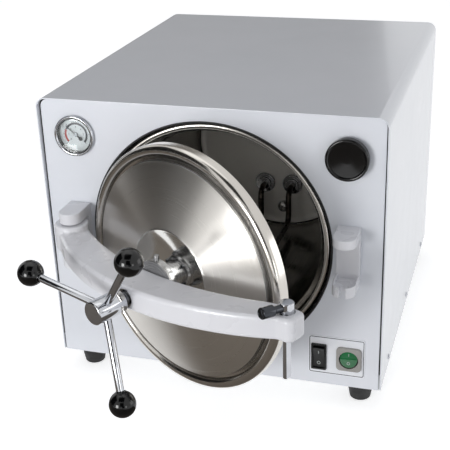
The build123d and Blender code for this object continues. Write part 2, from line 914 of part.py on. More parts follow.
boss_front_y = dish_floor_y - boss_height
journal_end_y = boss_front_y + journal_length
collar_back_y = journal_end_y - collar_setback
with BuildPart() as thrust_boss:
    journal_bore = journal_diameter / 2 + running_fit
    collar_bore = collar_diameter / 2 + running_fit
    with BuildSketch(radial(0, axis_z)):
        with BuildLine():
            Polyline((dish_floor_y, 0), (dish_floor_y, boss_flange_diameter / 2 - 2),
                     (dish_floor_y - boss_flange, boss_flange_diameter / 2 - 4),
                     (dish_floor_y - boss_flange, boss_diameter / 2),
                     (boss_front_y, boss_diameter / 2), (boss_front_y, journal_bore),
                     (collar_back_y - collar_length - running_fit, journal_bore),
                     (collar_back_y - collar_length - running_fit, collar_bore),
                     (collar_back_y + running_fit, collar_bore),
                     (collar_back_y + running_fit, journal_bore),
                     (journal_end_y + running_fit, journal_bore),
                     (journal_end_y + running_fit, 0), close=True)
        make_face()
    revolve(axis=screw_axis)
keep("thrust_boss", thrust_boss.part, on_door=True)

with BuildPart() as boss_screws:
    circle_radius = (boss_diameter + boss_flange_diameter - 8) / 4 + 0.5
    with BuildSketch(facing(dish_floor_y - boss_flange)):
        with Locations((0, axis_z)):
            with PolarLocations(circle_radius, boss_screw_count, start_angle=45):
                Circle(boss_screw_diameter / 2)
    extrude(amount=boss_screw_head)
keep("boss_screws", boss_screws.part, on_door=True)

# Clamping screw, star hub, rods and balls, which turn together

with BuildPart() as screw:
    thread_outer = screw_diameter / 2
    thread_root = thread_outer - thread_depth
    thread_front_y = hub_back_y
    thread_back_y = boss_front_y - thread_run_out
    turns = int((thread_back_y - thread_front_y) / thread_pitch)
    profile = [(hub_front_y + hub_wall, 0), (hub_front_y + hub_wall, journal_diameter / 2),
               (hub_back_y, journal_diameter / 2)]
    for turn in range(turns):
        start = thread_front_y + turn * thread_pitch
        profile.append((start, thread_root))
        profile.append((start + thread_pitch * 0.3, thread_outer))
        profile.append((start + thread_pitch * 0.5, thread_outer))
        profile.append((start + thread_pitch * 0.8, thread_root))
    thread_end = thread_front_y + turns * thread_pitch
    profile += [(thread_end, thread_root), (boss_front_y - 1, thread_root),
                (boss_front_y - 1, journal_diameter / 2),
                (collar_back_y - collar_length, journal_diameter / 2),
                (collar_back_y - collar_length, collar_diameter / 2),
                (collar_back_y, collar_diameter / 2), (collar_back_y, journal_diameter / 2),
                (journal_end_y, journal_diameter / 2), (journal_end_y, 0)]
    with BuildSketch(radial(0, axis_z)):
        with BuildLine():
            Polyline(*profile, close=True)
        make_face()
    revolve(axis=screw_axis)
keep("screw", screw.part, on_door=True)


def rod_plane(index, distance):
    """A plane across a rod at the given distance from its ball, facing the ball."""
    turn = math.radians(star_turn_at_rest + index * 360 / rod_count)
    lean = math.radians(rod_tilt)
    along = Vector(math.cos(turn) * math.cos(lean), -math.sin(lean),
                   math.sin(turn) * math.cos(lean))
    ball = Vector(ball_radius_out * math.cos(turn), ball_y,
                  axis_z + ball_radius_out * math.sin(turn))
    return Plane(origin=ball - along * distance, z_dir=along)


rod_run = ball_radius_out / math.cos(math.radians(rod_tilt))
rod_inner = rod_run - hub_diameter / 2 + rod_seat
rod_outer = ball_diameter / 2 - ball_flat

with BuildPart() as star_hub:
    with BuildSketch(facing(hub_back_y)):
        with Locations((0, axis_z)):
            Circle(hub_diameter / 2)
    extrude(amount=hub_length)
    chamfer(star_hub.edges().filter_by(GeomType.CIRCLE), hub_bevel)
    with BuildSketch(facing(hub_back_y)):
        with Locations((0, axis_z)):
            Circle(journal_diameter / 2)
    extrude(amount=hub_length - hub_wall, mode=Mode.SUBTRACT)
    for index in range(rod_count):
        with BuildSketch(rod_plane(index, rod_inner)):
            Circle(rod_diameter / 2)
        extrude(amount=2 * rod_seat, mode=Mode.SUBTRACT)
keep("star_hub", star_hub.part, on_door=True)

for index in range(rod_count):
    with BuildPart() as rod:
        with BuildSketch(rod_plane(index, rod_inner)):
            Circle(rod_diameter / 2)
        extrude(amount=rod_inner - rod_outer + ball_flat)
    keep(f"star_rod_{index + 1}", rod.part, on_door=True)
    with BuildPart() as ball:
        with Locations(rod_plane(index, 0).location):
            Sphere(ball_diameter / 2)
        with BuildSketch(rod_plane(index, ball_diameter / 2)):
            Circle(rod_diameter)
        extrude(amount=ball_flat / 3, mode=Mode.SUBTRACT)
        with BuildSketch(rod_plane(index, ball_diameter / 2)):
            Circle(rod_diameter / 2)
        extrude(amount=ball_diameter / 2 - rod_outer + ball_flat, mode=Mode.SUBTRACT)
    keep(f"star_ball_{index + 1}", ball.part, on_door=True)

# Lock pin: a head on the bar, a shaft through it and a flattened tail below

with BuildPart() as lock_pin:
    with BuildSketch(level(bar_top)):
        with Locations((lock_x, hinge_y)):
            Circle(lock_head_diameter / 2)
    extrude(amount=lock_head_height)
    chamfer(lock_pin.edges().sort_by(Axis.Z)[-1], lock_bevel)
    with BuildSketch(level(bar_bottom)):
        with Locations((lock_x, hinge_y)):
            Circle(lock_shaft_diameter / 2)
    extrude(amount=bar_height)
    with BuildSketch(level(bar_bottom)):
        with Locations((lock_x, hinge_y)):
            Circle(lock_tail_diameter / 2)
            Rectangle(lock_tail_flats, lock_tail_diameter, mode=Mode.INTERSECT)
    extrude(amount=-lock_tail_length)
keep("lock_pin", lock_pin.part, on_door=True)

with BuildPart() as lock_handle:
    lead = math.radians(-90 - lock_handle_lead)
    rise = math.radians(lock_handle_rise)
    outward = Vector(math.cos(lead) * math.cos(rise), math.sin(lead) * math.cos(rise),
                     math.sin(rise))
    root = Vector(lock_x, hinge_y, bar_top + lock_handle_lift)
    root = root + outward * (lock_head_diameter / 2 - lock_handle_sink)
    neck_length = lock_handle_length - lock_handle_grip - lock_handle_cone
    neck_end = root + outward * neck_length
    grip_start = neck_end + outward * lock_handle_cone
    with BuildSketch(Plane(origin=root, z_dir=outward)):
        Circle(lock_handle_neck / 2)
    extrude(amount=neck_length)
    with BuildSketch(Plane(origin=neck_end, z_dir=outward)):
        Circle(lock_handle_neck / 2)
    with BuildSketch(Plane(origin=grip_start, z_dir=outward)):
        Circle(lock_handle_end / 2)
    loft()
    with BuildSketch(Plane(origin=grip_start, z_dir=outward)):
        Circle(lock_handle_end / 2)
    extrude(amount=lock_handle_grip)
    chamfer(lock_handle.edges().sort_by(Axis.Y)[0], lock_bevel)
    with BuildSketch(level(bar_top)):
        with Locations((lock_x, hinge_y)):
            Circle(lock_head_diameter / 2)
    extrude(amount=lock_head_height, mode=Mode.SUBTRACT)
keep("lock_handle", lock_handle.part, on_door=True)

# Pressure gauge: a case through the panel, bezel, dial, needle and window

gauge_z = base_z + gauge_height
gauge_axis = turning(gauge_x, gauge_z)
gauge_case_radius = gauge_window / 2 + gauge_case_wall
dial_front_y = gauge_dial_recess

with BuildPart() as gauge_body:
    inner = gauge_window / 2
    with BuildSketch(radial(gauge_x, gauge_z)):
        with BuildLine():
            Polyline((0, inner), (gauge_case_depth - gauge_case_wall, inner),
                     (gauge_case_depth - gauge_case_wall, 0),
                     (gauge_case_depth + gauge_stem_length, 0),
                     (gauge_case_depth + gauge_stem_length, gauge_stem / 2),
                     (gauge_case_depth, gauge_stem / 2), (gauge_case_depth, gauge_case_radius),
                     (0, gauge_case_radius), close=True)
        make_face()
    revolve(axis=gauge_axis)
keep("gauge_body", gauge_body.part)

with BuildPart() as gauge_bezel:
    outer = gauge_diameter / 2
    with BuildSketch(radial(gauge_x, gauge_z)):
        with BuildLine():
            Polyline((0, inner), (0, outer), (-gauge_edge, outer))
            ThreePointArc((-gauge_edge, outer), (-gauge_bezel_depth, (outer + inner) / 2 + 0.3),
                          (-gauge_bezel_depth + gauge_lip, inner))
            Line((-gauge_bezel_depth + gauge_lip, inner), (0, inner))
        make_face()
    revolve(axis=gauge_axis)
keep("gauge_bezel", gauge_bezel.part)

with BuildPart() as gauge_dial:
    with BuildSketch(facing(dial_front_y + gauge_dial_sheet)):
        with Locations((gauge_x, gauge_z)):
            Circle(inner)
    extrude(amount=gauge_dial_sheet)
    with BuildSketch(facing(dial_front_y)):
        with Locations((gauge_x, gauge_z)):
            Circle(needle_pivot / 2)
    extrude(amount=gauge_dial_recess - pivot_set_back)
keep("gauge_dial", gauge_dial.part)

needle_y = dial_front_y - needle_gap
needle_turn = math.radians(needle_at_rest)
needle_plane = Plane(origin=(gauge_x, needle_y, gauge_z),
                     x_dir=(math.cos(needle_turn), 0, math.sin(needle_turn)),
                     z_dir=(0, -1, 0))
with BuildPart() as gauge_needle:
    with BuildSketch(needle_plane):
        with BuildLine():
            Polyline((-needle_tail, needle_width / 2), (-needle_tail, -needle_width / 2),
                     (needle_length, -needle_tip / 2), (needle_length, needle_tip / 2), close=True)
        make_face()
        Circle(needle_hub / 2)
        with Locations((-needle_tail, 0)):
            Circle(needle_weight / 2)
        Circle(needle_pivot / 2 + running_fit, mode=Mode.SUBTRACT)
    extrude(amount=needle_sheet)
keep("gauge_needle", gauge_needle.part)

with BuildPart() as gauge_lens:
    with BuildSketch(facing(-gauge_bezel_depth + gauge_lip + running_fit + gauge_lens_sheet)):
        with Locations((gauge_x, gauge_z)):
            Circle(inner)
    extrude(amount=gauge_lens_sheet)
keep("gauge_lens", gauge_lens.part)


def make_pipe(front_x, front_y, front_z, port_x, port_z, rear_y):
    """A bent pipe from a front fitting round to a port on the chamber's back."""
    with BuildPart() as pipe:
        with BuildLine() as route:
            FilletPolyline((front_x, front_y, front_z), (front_x, rear_y, front_z),
                           (port_x, rear_y, front_z), (port_x, rear_y, port_z),
                           (port_x, back_y + chamber_back, port_z), radius=pipe_bend)
        with BuildSketch(Plane(origin=route.line @ 0, z_dir=route.line % 0)):
            Circle(pipe_diameter / 2)
        sweep()
    return pipe.part


gauge_rear_y = gauge_case_depth + gauge_stem_length
keep("gauge_pipe", make_pipe(gauge_x, gauge_rear_y, gauge_z, gauge_port_offset, port_height,
                             back_y + chamber_back + pipe_rear_run))

# Vent knob with its valve behind the panel

knob_z = base_z + knob_height
knob_axis = turning(knob_x, knob_z)
knob_back_y = -knob_gap - valve_nut
knob_front_y = knob_back_y - knob_depth

with BuildPart() as vent_valve:
    shaft_bore = knob_shaft / 2 + running_fit
    neck = valve_neck_diameter / 2
    with BuildSketch(radial(knob_x, knob_z)):
        with BuildLine():
            Polyline((-valve_nut, shaft_bore), (valve_length - valve_floor, shaft_bore),
                     (valve_length - valve_floor, 0), (panel_sheet + valve_length, 0),
                     (panel_sheet + valve_length, valve_diameter / 2),
                     (panel_sheet, valve_diameter / 2), (panel_sheet, neck), (0, neck),
                     (0, valve_nut_diameter / 2), (-valve_nut, valve_nut_diameter / 2),
                     close=True)
        make_face()
    revolve(axis=knob_axis)
keep("vent_valve", vent_valve.part)

with BuildPart() as vent_knob:
    rim = knob_diameter / 2
    shaft_end_y = valve_length - valve_floor - knob_end_gap
    with BuildSketch(radial(knob_x, knob_z)):
        with BuildLine():
            Polyline((knob_back_y, 0), (shaft_end_y, 0), (shaft_end_y, knob_shaft / 2),
                     (knob_back_y, knob_shaft / 2), (knob_back_y, rim - knob_edge),
                     (knob_back_y - knob_edge, rim), (knob_front_y + knob_rim / 2, rim))
            ThreePointArc((knob_front_y + knob_rim / 2, rim), (knob_front_y, rim - knob_rim / 2),
                          (knob_front_y + knob_rim / 2, rim - knob_rim))
            ThreePointArc((knob_front_y + knob_rim / 2, rim - knob_rim),
                          (knob_front_y + knob_dish * knob_hollow_share, rim / 2),
                          (knob_front_y + knob_dish, knob_shaft / 2))
            Line((knob_front_y + knob_dish, knob_shaft / 2), (knob_front_y + knob_dish, 0))
            Line((knob_front_y + knob_dish, 0), (knob_back_y, 0))
        make_face()
    revolve(axis=knob_axis)
keep("vent_knob", vent_knob.part)

keep("vent_pipe", make_pipe(knob_x, panel_sheet + valve_length, knob_z, vent_port_offset,
                            port_height, back_y + chamber_back + pipe_rear_run + pipe_bend))

# Switch plate with a tall rocker and a round green one

with BuildPart() as label_plate:
    with BuildSketch(facing(0)):
        with Locations((plate_x, base_z + plate_height)):
            RectangleRounded(plate_width, plate_tall, plate_corner)
        with Locations((rocker_x, base_z + rocker_height)):
            Rectangle(rocker_hole_width, rocker_hole_tall, mode=Mode.SUBTRACT)
        with Locations((power_x, base_z + power_height)):
            Circle(power_body_diameter / 2, mode=Mode.SUBTRACT)
    extrude(amount=plate_sheet)
keep("label_plate", label_plate.part)

rocker_z = base_z + rocker_height
power_z = base_z + power_height
rocker_well_width = rocker_width + 2 * switch_clearance
rocker_well_tall = rocker_tall + 2 * switch_travel_gap
well_floor_y = switch_pivot_depth + switch_floor

with BuildPart() as rocker_housing:
    with BuildSketch(facing(-plate_sheet)):
        with Locations((rocker_x, rocker_z)):
            RectangleRounded(rocker_well_width + 2 * rocker_frame,
                             rocker_well_tall + 2 * rocker_frame, 1)
    extrude(amount=rocker_frame_depth)
    with BuildSketch(facing(switch_body_depth)):
        with Locations((rocker_x, rocker_z)):
            Rectangle(rocker_hole_width, rocker_hole_tall)
    extrude(amount=switch_body_depth + plate_sheet)
    with BuildSketch(facing(well_floor_y)):
        with Locations((rocker_x, rocker_z)):
            Rectangle(rocker_well_width, rocker_well_tall)
    extrude(amount=well_floor_y + plate_sheet + rocker_frame_depth, mode=Mode.SUBTRACT)
    with BuildSketch(Plane(origin=(rocker_x, switch_pivot_depth, rocker_z), z_dir=(1, 0, 0))):
        Circle(trunnion_diameter / 2 + running_fit)
    extrude(amount=rocker_well_width / 2 + trunnion_length, both=True, mode=Mode.SUBTRACT)
keep("rocker_housing", rocker_housing.part)


def tilted_side(pivot_y, pivot_z, tilt):
    """The side plane of a rocker, turned about its pivot; its x runs to the front."""
    angle = math.radians(tilt)
    return Plane(origin=(0, pivot_y, pivot_z), x_dir=(0, -math.cos(angle), -math.sin(angle)),
                 z_dir=(-1, 0, 0))


face_reach = switch_pivot_depth + plate_sheet + 1
with BuildPart() as rocker_switch:
    side = tilted_side(switch_pivot_depth, rocker_z, switch_tilt)
    half = rocker_tall / 2
    with BuildSketch(Plane(origin=side.origin + Vector(rocker_x, 0, 0), x_dir=side.x_dir,
                           z_dir=side.z_dir)):
        with BuildLine():
            Polyline((-switch_skirt, -half), (face_reach + switch_face_rise, -half), (face_reach, 0),
                     (face_reach + switch_face_rise, half), (-switch_skirt, half), close=True)
        make_face()
    extrude(amount=rocker_width / 2, both=True)
    fillet(rocker_switch.edges().filter_by(Axis.X).sort_by(Axis.Y)[:2], 0.8)
    with BuildSketch(Plane(origin=(rocker_x, switch_pivot_depth, rocker_z), z_dir=(1, 0, 0))):
        Circle(trunnion_diameter / 2)
    extrude(amount=rocker_width / 2 + switch_clearance + trunnion_length - 0.2, both=True)
keep("rocker_switch", rocker_switch.part)

with BuildPart() as power_housing:
    well_radius = power_diameter / 2 + switch_travel_gap
    with BuildSketch(facing(-plate_sheet)):
        with Locations((power_x, power_z)):
            RectangleRounded(power_width, power_tall, power_corner)
    extrude(amount=power_frame_depth)
    fillet(power_housing.faces().sort_by(Axis.Y)[0].edges(), 1.2)
    with BuildSketch(facing(switch_body_depth)):
        with Locations((power_x, power_z)):
            Circle(power_body_diameter / 2)
    extrude(amount=switch_body_depth + plate_sheet)
    with BuildSketch(facing(well_floor_y)):
        with Locations((power_x, power_z)):
            Circle(well_radius)
    extrude(amount=well_floor_y + plate_sheet + power_frame_depth, mode=Mode.SUBTRACT)
    with BuildSketch(Plane(origin=(power_x, switch_pivot_depth, power_z), z_dir=(1, 0, 0))):
        Circle(trunnion_diameter / 2 + running_fit)
    extrude(amount=well_radius + trunnion_length, both=True, mode=Mode.SUBTRACT)
keep("power_housing", power_housing.part)

power_reach = switch_pivot_depth + plate_sheet + power_frame_depth - power_set_back
with BuildPart() as power_switch:
    side = tilted_side(switch_pivot_depth, power_z, -switch_tilt)
    spot = side.origin + Vector(power_x, 0, 0)
    with BuildSketch(Plane(origin=spot - side.x_dir * switch_skirt, x_dir=(1, 0, 0), z_dir=side.x_dir)):
        Circle(power_diameter / 2)
    extrude(amount=power_reach + switch_skirt + switch_face_rise)
    with BuildSketch(Plane(origin=spot, x_dir=side.x_dir, z_dir=side.z_dir)):
        with BuildLine():
            Polyline((power_reach + switch_face_rise, -power_diameter / 2),
                     (power_reach, 0), (power_reach + switch_face_rise, power_diameter / 2),
                     (power_reach + 3 * switch_face_rise, 0), close=True)
        make_face()
    extrude(amount=power_diameter, both=True, mode=Mode.SUBTRACT)
    with BuildSketch(Plane(origin=(power_x, switch_pivot_depth, power_z), z_dir=(1, 0, 0))):
        Circle(trunnion_diameter / 2)
    extrude(amount=well_radius + trunnion_length - 0.2, both=True)
keep("power_switch", power_switch.part)

# Rear fittings: mains inlet, drain pipe with its spigot, and safety valve

inlet_z = base_z + inlet_height
with BuildPart() as mains_inlet:
    with BuildSketch(facing(case_depth)):
        with Locations((inlet_x, inlet_z)):
            RectangleRounded(inlet_width, inlet_tall, 3)
    extrude(amount=-inlet_frame_depth)
    with BuildSketch(facing(case_depth)):
        with Locations((inlet_x, inlet_z)):
            Rectangle(inlet_hole_width, inlet_hole_tall)
    extrude(amount=inlet_body_depth)
    with BuildSketch(facing(case_depth + inlet_frame_depth)):
        with Locations((inlet_x, inlet_z)):
            RectangleRounded(inlet_hole_width - 8, inlet_hole_tall - 4, 3)
    extrude(amount=inlet_pocket_depth, mode=Mode.SUBTRACT)
    with BuildSketch(facing(case_depth + inlet_frame_depth - inlet_pocket_depth)):
        with Locations((inlet_x, inlet_z)):
            with GridLocations(inlet_blade_spacing / 2, 1, 3, 1):
                Rectangle(inlet_blade, 4 * inlet_blade)
    extrude(amount=-inlet_pocket_depth + 3)
keep("mains_inlet", mains_inlet.part)

spigot_z = base_z + spigot_height
chamber_low_z = axis_z - shell_radius
drain_z = spigot_z
with BuildPart() as drain_pipe:
    with BuildLine() as drain_route:
        FilletPolyline((0, drain_reach, chamber_low_z), (0, drain_reach, drain_z),
                       (spigot_x, drain_reach, drain_z),
                       (spigot_x, case_depth - panel_sheet, drain_z), radius=pipe_bend)
    with BuildSketch(Plane(origin=drain_route.line @ 0, z_dir=drain_route.line % 0)):
        Circle(pipe_diameter / 2)
    sweep()
keep("drain_pipe", drain_pipe.part)

with BuildPart() as drain_spigot:
    with BuildSketch(facing(case_depth)):
        with Locations((spigot_x, spigot_z)):
            RegularPolygon(spigot_hex / 2, 6)
    extrude(amount=-spigot_hex_length)
    with BuildSketch(facing(case_depth - panel_sheet)):
        with Locations((spigot_x, spigot_z)):
            Circle(spigot_diameter / 2)
    extrude(amount=-spigot_length - spigot_hex_length - panel_sheet)
    with BuildSketch(facing(case_depth - panel_sheet)):
        with Locations((spigot_x, spigot_z)):
            Circle(spigot_bore / 2)
    extrude(amount=-spigot_length - spigot_hex_length - panel_sheet, mode=Mode.SUBTRACT)
keep("drain_spigot", drain_spigot.part)

safety_z = base_z + safety_height
with BuildPart() as safety_valve:
    neck_radius = safety_neck_diameter / 2
    end_y = case_depth + safety_length
    with BuildSketch(radial(safety_x, safety_z)):
        with BuildLine():
            Polyline((back_y + chamber_back, 0), (back_y + chamber_back, neck_radius),
                     (case_depth, neck_radius), (case_depth, safety_diameter / 2),
                     (end_y - safety_tip - safety_taper, safety_diameter / 2),
                     (end_y - safety_tip, neck_radius),
                     (end_y, neck_radius), (end_y, 0), close=True)
        make_face()
    revolve(axis=turning(safety_x, safety_z))
    with BuildSketch(Plane(origin=(safety_x, end_y - 1 + safety_ring / 2, safety_z),
                           x_dir=(0, 1, 0), z_dir=(1, 0, 0))):
        Circle(safety_ring / 2)
        Circle(safety_ring / 2 - safety_ring_wire, mode=Mode.SUBTRACT)
    extrude(amount=safety_ring_wire / 2, both=True)
keep("safety_valve", safety_valve.part)

# The door is turned open about its hinge pin, the whole is set over the origin
# on the floor, and every piece is written as a file of its own.

open_turn = (Location((hinge_x, hinge_y, 0)) * Location((0, 0, 0), (0, 0, -door_angle))
             * Location((-hinge_x, -hinge_y, 0)))
placed = []
for part in finished:
    name = part.label
    if name in door_pieces:
        part = part.moved(open_turn)
    part.label = name
    placed.append(part)

box = Compound(children=[part.moved(Location()) for part in placed]).bounding_box()
to_origin = Location((-(box.min.X + box.max.X) / 2, -(box.min.Y + box.max.Y) / 2, -box.min.Z))

os.makedirs("parts", exist_ok=True)
for part in placed:
    piece = part.moved(to_origin)
    piece.label = part.label
    export_step(piece, f"parts/{piece.label}.step")
print("pieces", len(placed))
print("hinge axis", tuple(round(v, 3) for v in (to_origin.position + Vector(hinge_x, hinge_y, 0))))
print("box", box)
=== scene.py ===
# %% [markdown]
# # A tabletop dental autoclave
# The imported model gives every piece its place, so this lesson only dresses it:
# some pieces are modelled again with finer edges, and every piece gets a finish.
# Lengths in this file are in millimetres, as on a drawing, and one small function
# turns them into the metres that Blender works in.

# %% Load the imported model
import math

import bmesh
import bpy
from mathutils import Matrix, Vector


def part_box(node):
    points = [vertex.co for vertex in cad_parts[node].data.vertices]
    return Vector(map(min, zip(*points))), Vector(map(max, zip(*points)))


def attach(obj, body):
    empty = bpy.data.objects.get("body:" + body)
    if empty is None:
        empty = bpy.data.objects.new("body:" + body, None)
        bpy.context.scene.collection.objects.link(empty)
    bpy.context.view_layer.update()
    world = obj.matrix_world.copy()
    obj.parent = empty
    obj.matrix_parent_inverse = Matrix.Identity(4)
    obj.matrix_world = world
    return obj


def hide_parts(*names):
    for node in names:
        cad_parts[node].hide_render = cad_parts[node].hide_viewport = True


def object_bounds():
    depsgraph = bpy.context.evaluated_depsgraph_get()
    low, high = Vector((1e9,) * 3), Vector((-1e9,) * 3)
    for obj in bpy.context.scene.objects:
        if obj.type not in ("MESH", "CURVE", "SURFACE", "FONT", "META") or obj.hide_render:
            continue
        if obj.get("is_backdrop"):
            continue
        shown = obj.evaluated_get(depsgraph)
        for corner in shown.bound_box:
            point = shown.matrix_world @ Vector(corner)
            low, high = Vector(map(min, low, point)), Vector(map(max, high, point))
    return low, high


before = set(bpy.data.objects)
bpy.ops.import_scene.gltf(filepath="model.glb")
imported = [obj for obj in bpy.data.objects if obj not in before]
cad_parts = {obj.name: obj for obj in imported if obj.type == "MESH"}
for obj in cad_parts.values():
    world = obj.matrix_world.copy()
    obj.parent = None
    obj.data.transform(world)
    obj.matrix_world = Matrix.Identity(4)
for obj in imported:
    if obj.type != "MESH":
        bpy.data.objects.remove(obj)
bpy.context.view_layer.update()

# %% [markdown]
# ## Places on the drawing
# The drawing's origin is on the floor, below the middle of the front panel's face.
# The chamber's axis is level and runs back from there. The door is drawn shut, and
# its pieces are turned open about the hinge as the last step of their modelling.

# %% Points and the door's turn
front_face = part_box("front_panel")[0][1]
axis_z = 198.5
hinge_x = -158
hinge_y = -28
lock_x = 160
door_angle = math.radians(25.4)
sharp_angle = 30


def point(x, y, z):
    """A point of the drawing, in metres in the model's frame."""
    return Vector((x / 1000, front_face + y / 1000, z / 1000))


on_axis = point(0, 0, axis_z)
hinge = point(hinge_x, hinge_y, 0)
door_open = (Matrix.Translation(hinge) @ Matrix.Rotation(-door_angle, 4, "Z")
             @ Matrix.Translation(-hinge))
print("front face at y", round(front_face, 5))

# %% [markdown]
# ## Helpers for modelling
# Most of this object is turned on a lathe or pressed from round sheet, so the same
# three steps come back: draw half of the section, spin it about the axis, and close
# the seam. The castings and sheets are copied from the model instead, merged, and
# given the small round edges that catch the light on a real one.

# %% Selecting, turning and refining


def pick(piece):
    """Makes one object the only selected and active one."""
    if bpy.context.object and bpy.context.object.mode != "OBJECT":
        bpy.ops.object.mode_set(mode="OBJECT")
    bpy.ops.object.select_all(action="DESELECT")
    piece.select_set(True)
    bpy.context.view_layer.objects.active = piece


def empty_piece(name):
    """A new object with an empty mesh."""
    piece = bpy.data.objects.new(name, bpy.data.meshes.new(name))
    bpy.context.scene.collection.objects.link(piece)
    return piece


def eased(section, size, closed=False, parts=3):
    """A section whose corners are rounded by about the given size."""
    count = len(section)
    corners = range(count) if closed else range(1, count - 1)
    result = [] if closed else [Vector(section[0])]
    for index in corners:
        corner = Vector(section[index])
        before = Vector(section[index - 1]) - corner
        after = Vector(section[(index + 1) % count]) - corner
        reach = min(size, before.length * 0.45, after.length * 0.45)
        start = corner + before.normalized() * reach
        end = corner + after.normalized() * reach
        for step in range(parts + 1):
            t = step / parts
            result.append(start * (1 - t) ** 2 + corner * 2 * t * (1 - t) + end * t ** 2)
    result.append(result[0].copy() if closed else Vector(section[-1]))
    return result


def bow(start, middle, end, parts=12):
    """Points of the arc through three points of a section."""
    a, b, c = Vector(start), Vector(middle), Vector(end)
    d = 2 * (a.x * (b.y - c.y) + b.x * (c.y - a.y) + c.x * (a.y - b.y))
    sa, sb, sc = a.length_squared, b.length_squared, c.length_squared
    centre = Vector(((sa * (b.y - c.y) + sb * (c.y - a.y) + sc * (a.y - b.y)) / d,
                     (sa * (c.x - b.x) + sb * (a.x - c.x) + sc * (b.x - a.x)) / d))
    radius = (a - centre).length
    turns = [math.atan2((p - centre).y, (p - centre).x) for p in (a, b, c)]
    span = (turns[2] - turns[0]) % (2 * math.pi)
    if (turns[1] - turns[0]) % (2 * math.pi) > span:
        span -= 2 * math.pi
    return [centre + radius * Vector((math.cos(turns[0] + span * i / parts),
                                      math.sin(turns[0] + span * i / parts)))
            for i in range(parts + 1)]


def turned(name, section, centre, along=(0, 1, 0), steps=96, smooth=32):
    """A lathe piece. A section is a list of (distance along the axis, radius)."""
    piece = empty_piece(name)
    shape = bmesh.new()
    dots = [shape.verts.new((p[1] / 1000, p[0] / 1000, 0)) for p in section]
    for a, b in zip(dots, dots[1:]):
        shape.edges.new((a, b))
    shape.to_mesh(piece.data)
    shape.free()
    pick(piece)
    bpy.ops.object.mode_set(mode="EDIT")
    bpy.ops.mesh.select_all(action="SELECT")
    bpy.ops.mesh.spin(steps=steps, angle=2 * math.pi, center=(0, 0, 0), axis=(0, 1, 0))
    bpy.ops.mesh.select_all(action="SELECT")
    bpy.ops.mesh.remove_doubles(threshold=0.000002)
    bpy.ops.mesh.dissolve_degenerate(threshold=0.000002)
    bpy.ops.mesh.select_all(action="SELECT")
    bpy.ops.mesh.normals_make_consistent(inside=False)
    bpy.ops.object.mode_set(mode="OBJECT")
    bpy.ops.object.shade_smooth_by_angle(angle=math.radians(smooth))
    wrap(piece)
    aim = Vector((0, 1, 0)).rotation_difference(Vector(along)).to_matrix().to_4x4()
    piece.data.transform(Matrix.Translation(centre) @ aim)
    return piece


def wrap(piece):
    """A map whose u runs round the Y axis and whose v runs outwards and along."""
    layer = piece.data.uv_layers.new(name="turn")
    for face in piece.data.polygons:
        middle = math.atan2(face.center.z, face.center.x)
        for corner in face.loop_indices:
            spot = piece.data.vertices[piece.data.loops[corner].vertex_index].co
            out = math.hypot(spot.x, spot.z)
            angle = math.atan2(spot.z, spot.x) if out > 1e-6 else middle
            angle = middle + (angle - middle + math.pi) % (2 * math.pi) - math.pi
            layer.data[corner].uv = (angle / (2 * math.pi), (out + spot.y) * 10)


def refined(node, edge=0.0):
    """A merged copy of a model piece with small round edges, which replaces it."""
    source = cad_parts[node]
    piece = empty_piece(node + "_finished")
    piece.data = source.data.copy()
    piece.data.name = piece.name
    piece.data.materials.clear()
    pick(piece)
    bpy.ops.object.mode_set(mode="EDIT")
    bpy.ops.mesh.select_all(action="SELECT")
    bpy.ops.mesh.remove_doubles(threshold=0.000004)
    if edge:
        bpy.ops.mesh.dissolve_limited(angle_limit=math.radians(0.4))
    bpy.ops.object.mode_set(mode="OBJECT")
    if edge:
        rounding = piece.modifiers.new("edges", "BEVEL")
        rounding.width = edge / 1000
        rounding.segments = 2
        rounding.limit_method = "ANGLE"
        rounding.angle_limit = math.radians(sharp_angle)
        rounding.harden_normals = False
        bpy.ops.object.modifier_apply(modifier="edges")
    bpy.ops.object.shade_smooth_by_angle(angle=math.radians(sharp_angle))
    flat = piece.modifiers.new("weights", "WEIGHTED_NORMAL")
    flat.keep_sharp = True
    bpy.ops.object.modifier_apply(modifier="weights")
    return piece


def joined(*pieces):
    """Joins pieces into the first one."""
    pick(pieces[0])
    for other in pieces[1:]:
        other.select_set(True)
    bpy.ops.object.join()
    return pieces[0]


def finish(piece, material, body, slot, *nodes, on_door=False):
    """Gives a piece its finish, its body and the nodes it replaces; slot is not used."""
    if material:
        piece.data.materials.clear()
        piece.data.materials.append(material)
    if on_door:
        piece.data.transform(door_open)
    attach(piece, body)
    if nodes:
        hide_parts(*nodes)
    print(piece.name, len(piece.data.polygons), "faces")
    return piece


# %% [markdown]
# ## Helpers for finishes
# A finish starts from a shader with its plain values. Everything that varies over
# the surface, such as brushing or dust, is a pattern of nodes on Object
# coordinates, which are in metres here, so a pattern of so many millimetres has a
# scale of a thousand over that number.

# %% Colours, nodes and the start of a finish


def tone(code):
    """A hex colour as Blender's linear colour."""
    parts = [int(code[i:i + 2], 16) / 255 for i in (0, 2, 4)]
    return [p / 12.92 if p <= 0.04045 else ((p + 0.055) / 1.055) ** 2.4 for p in parts] + [1]


def node(tree, kind, inputs=None, links=None, **settings):
    """Adds a node with its settings, values and links."""
    made = tree.nodes.new(kind)
    for key, value in settings.items():
        setattr(made, key, value)
    for key, value in (inputs or {}).items():
        made.inputs[key].default_value = value
    for key, source in (links or {}).items():
        tree.links.new(source, made.inputs[key])
    return made


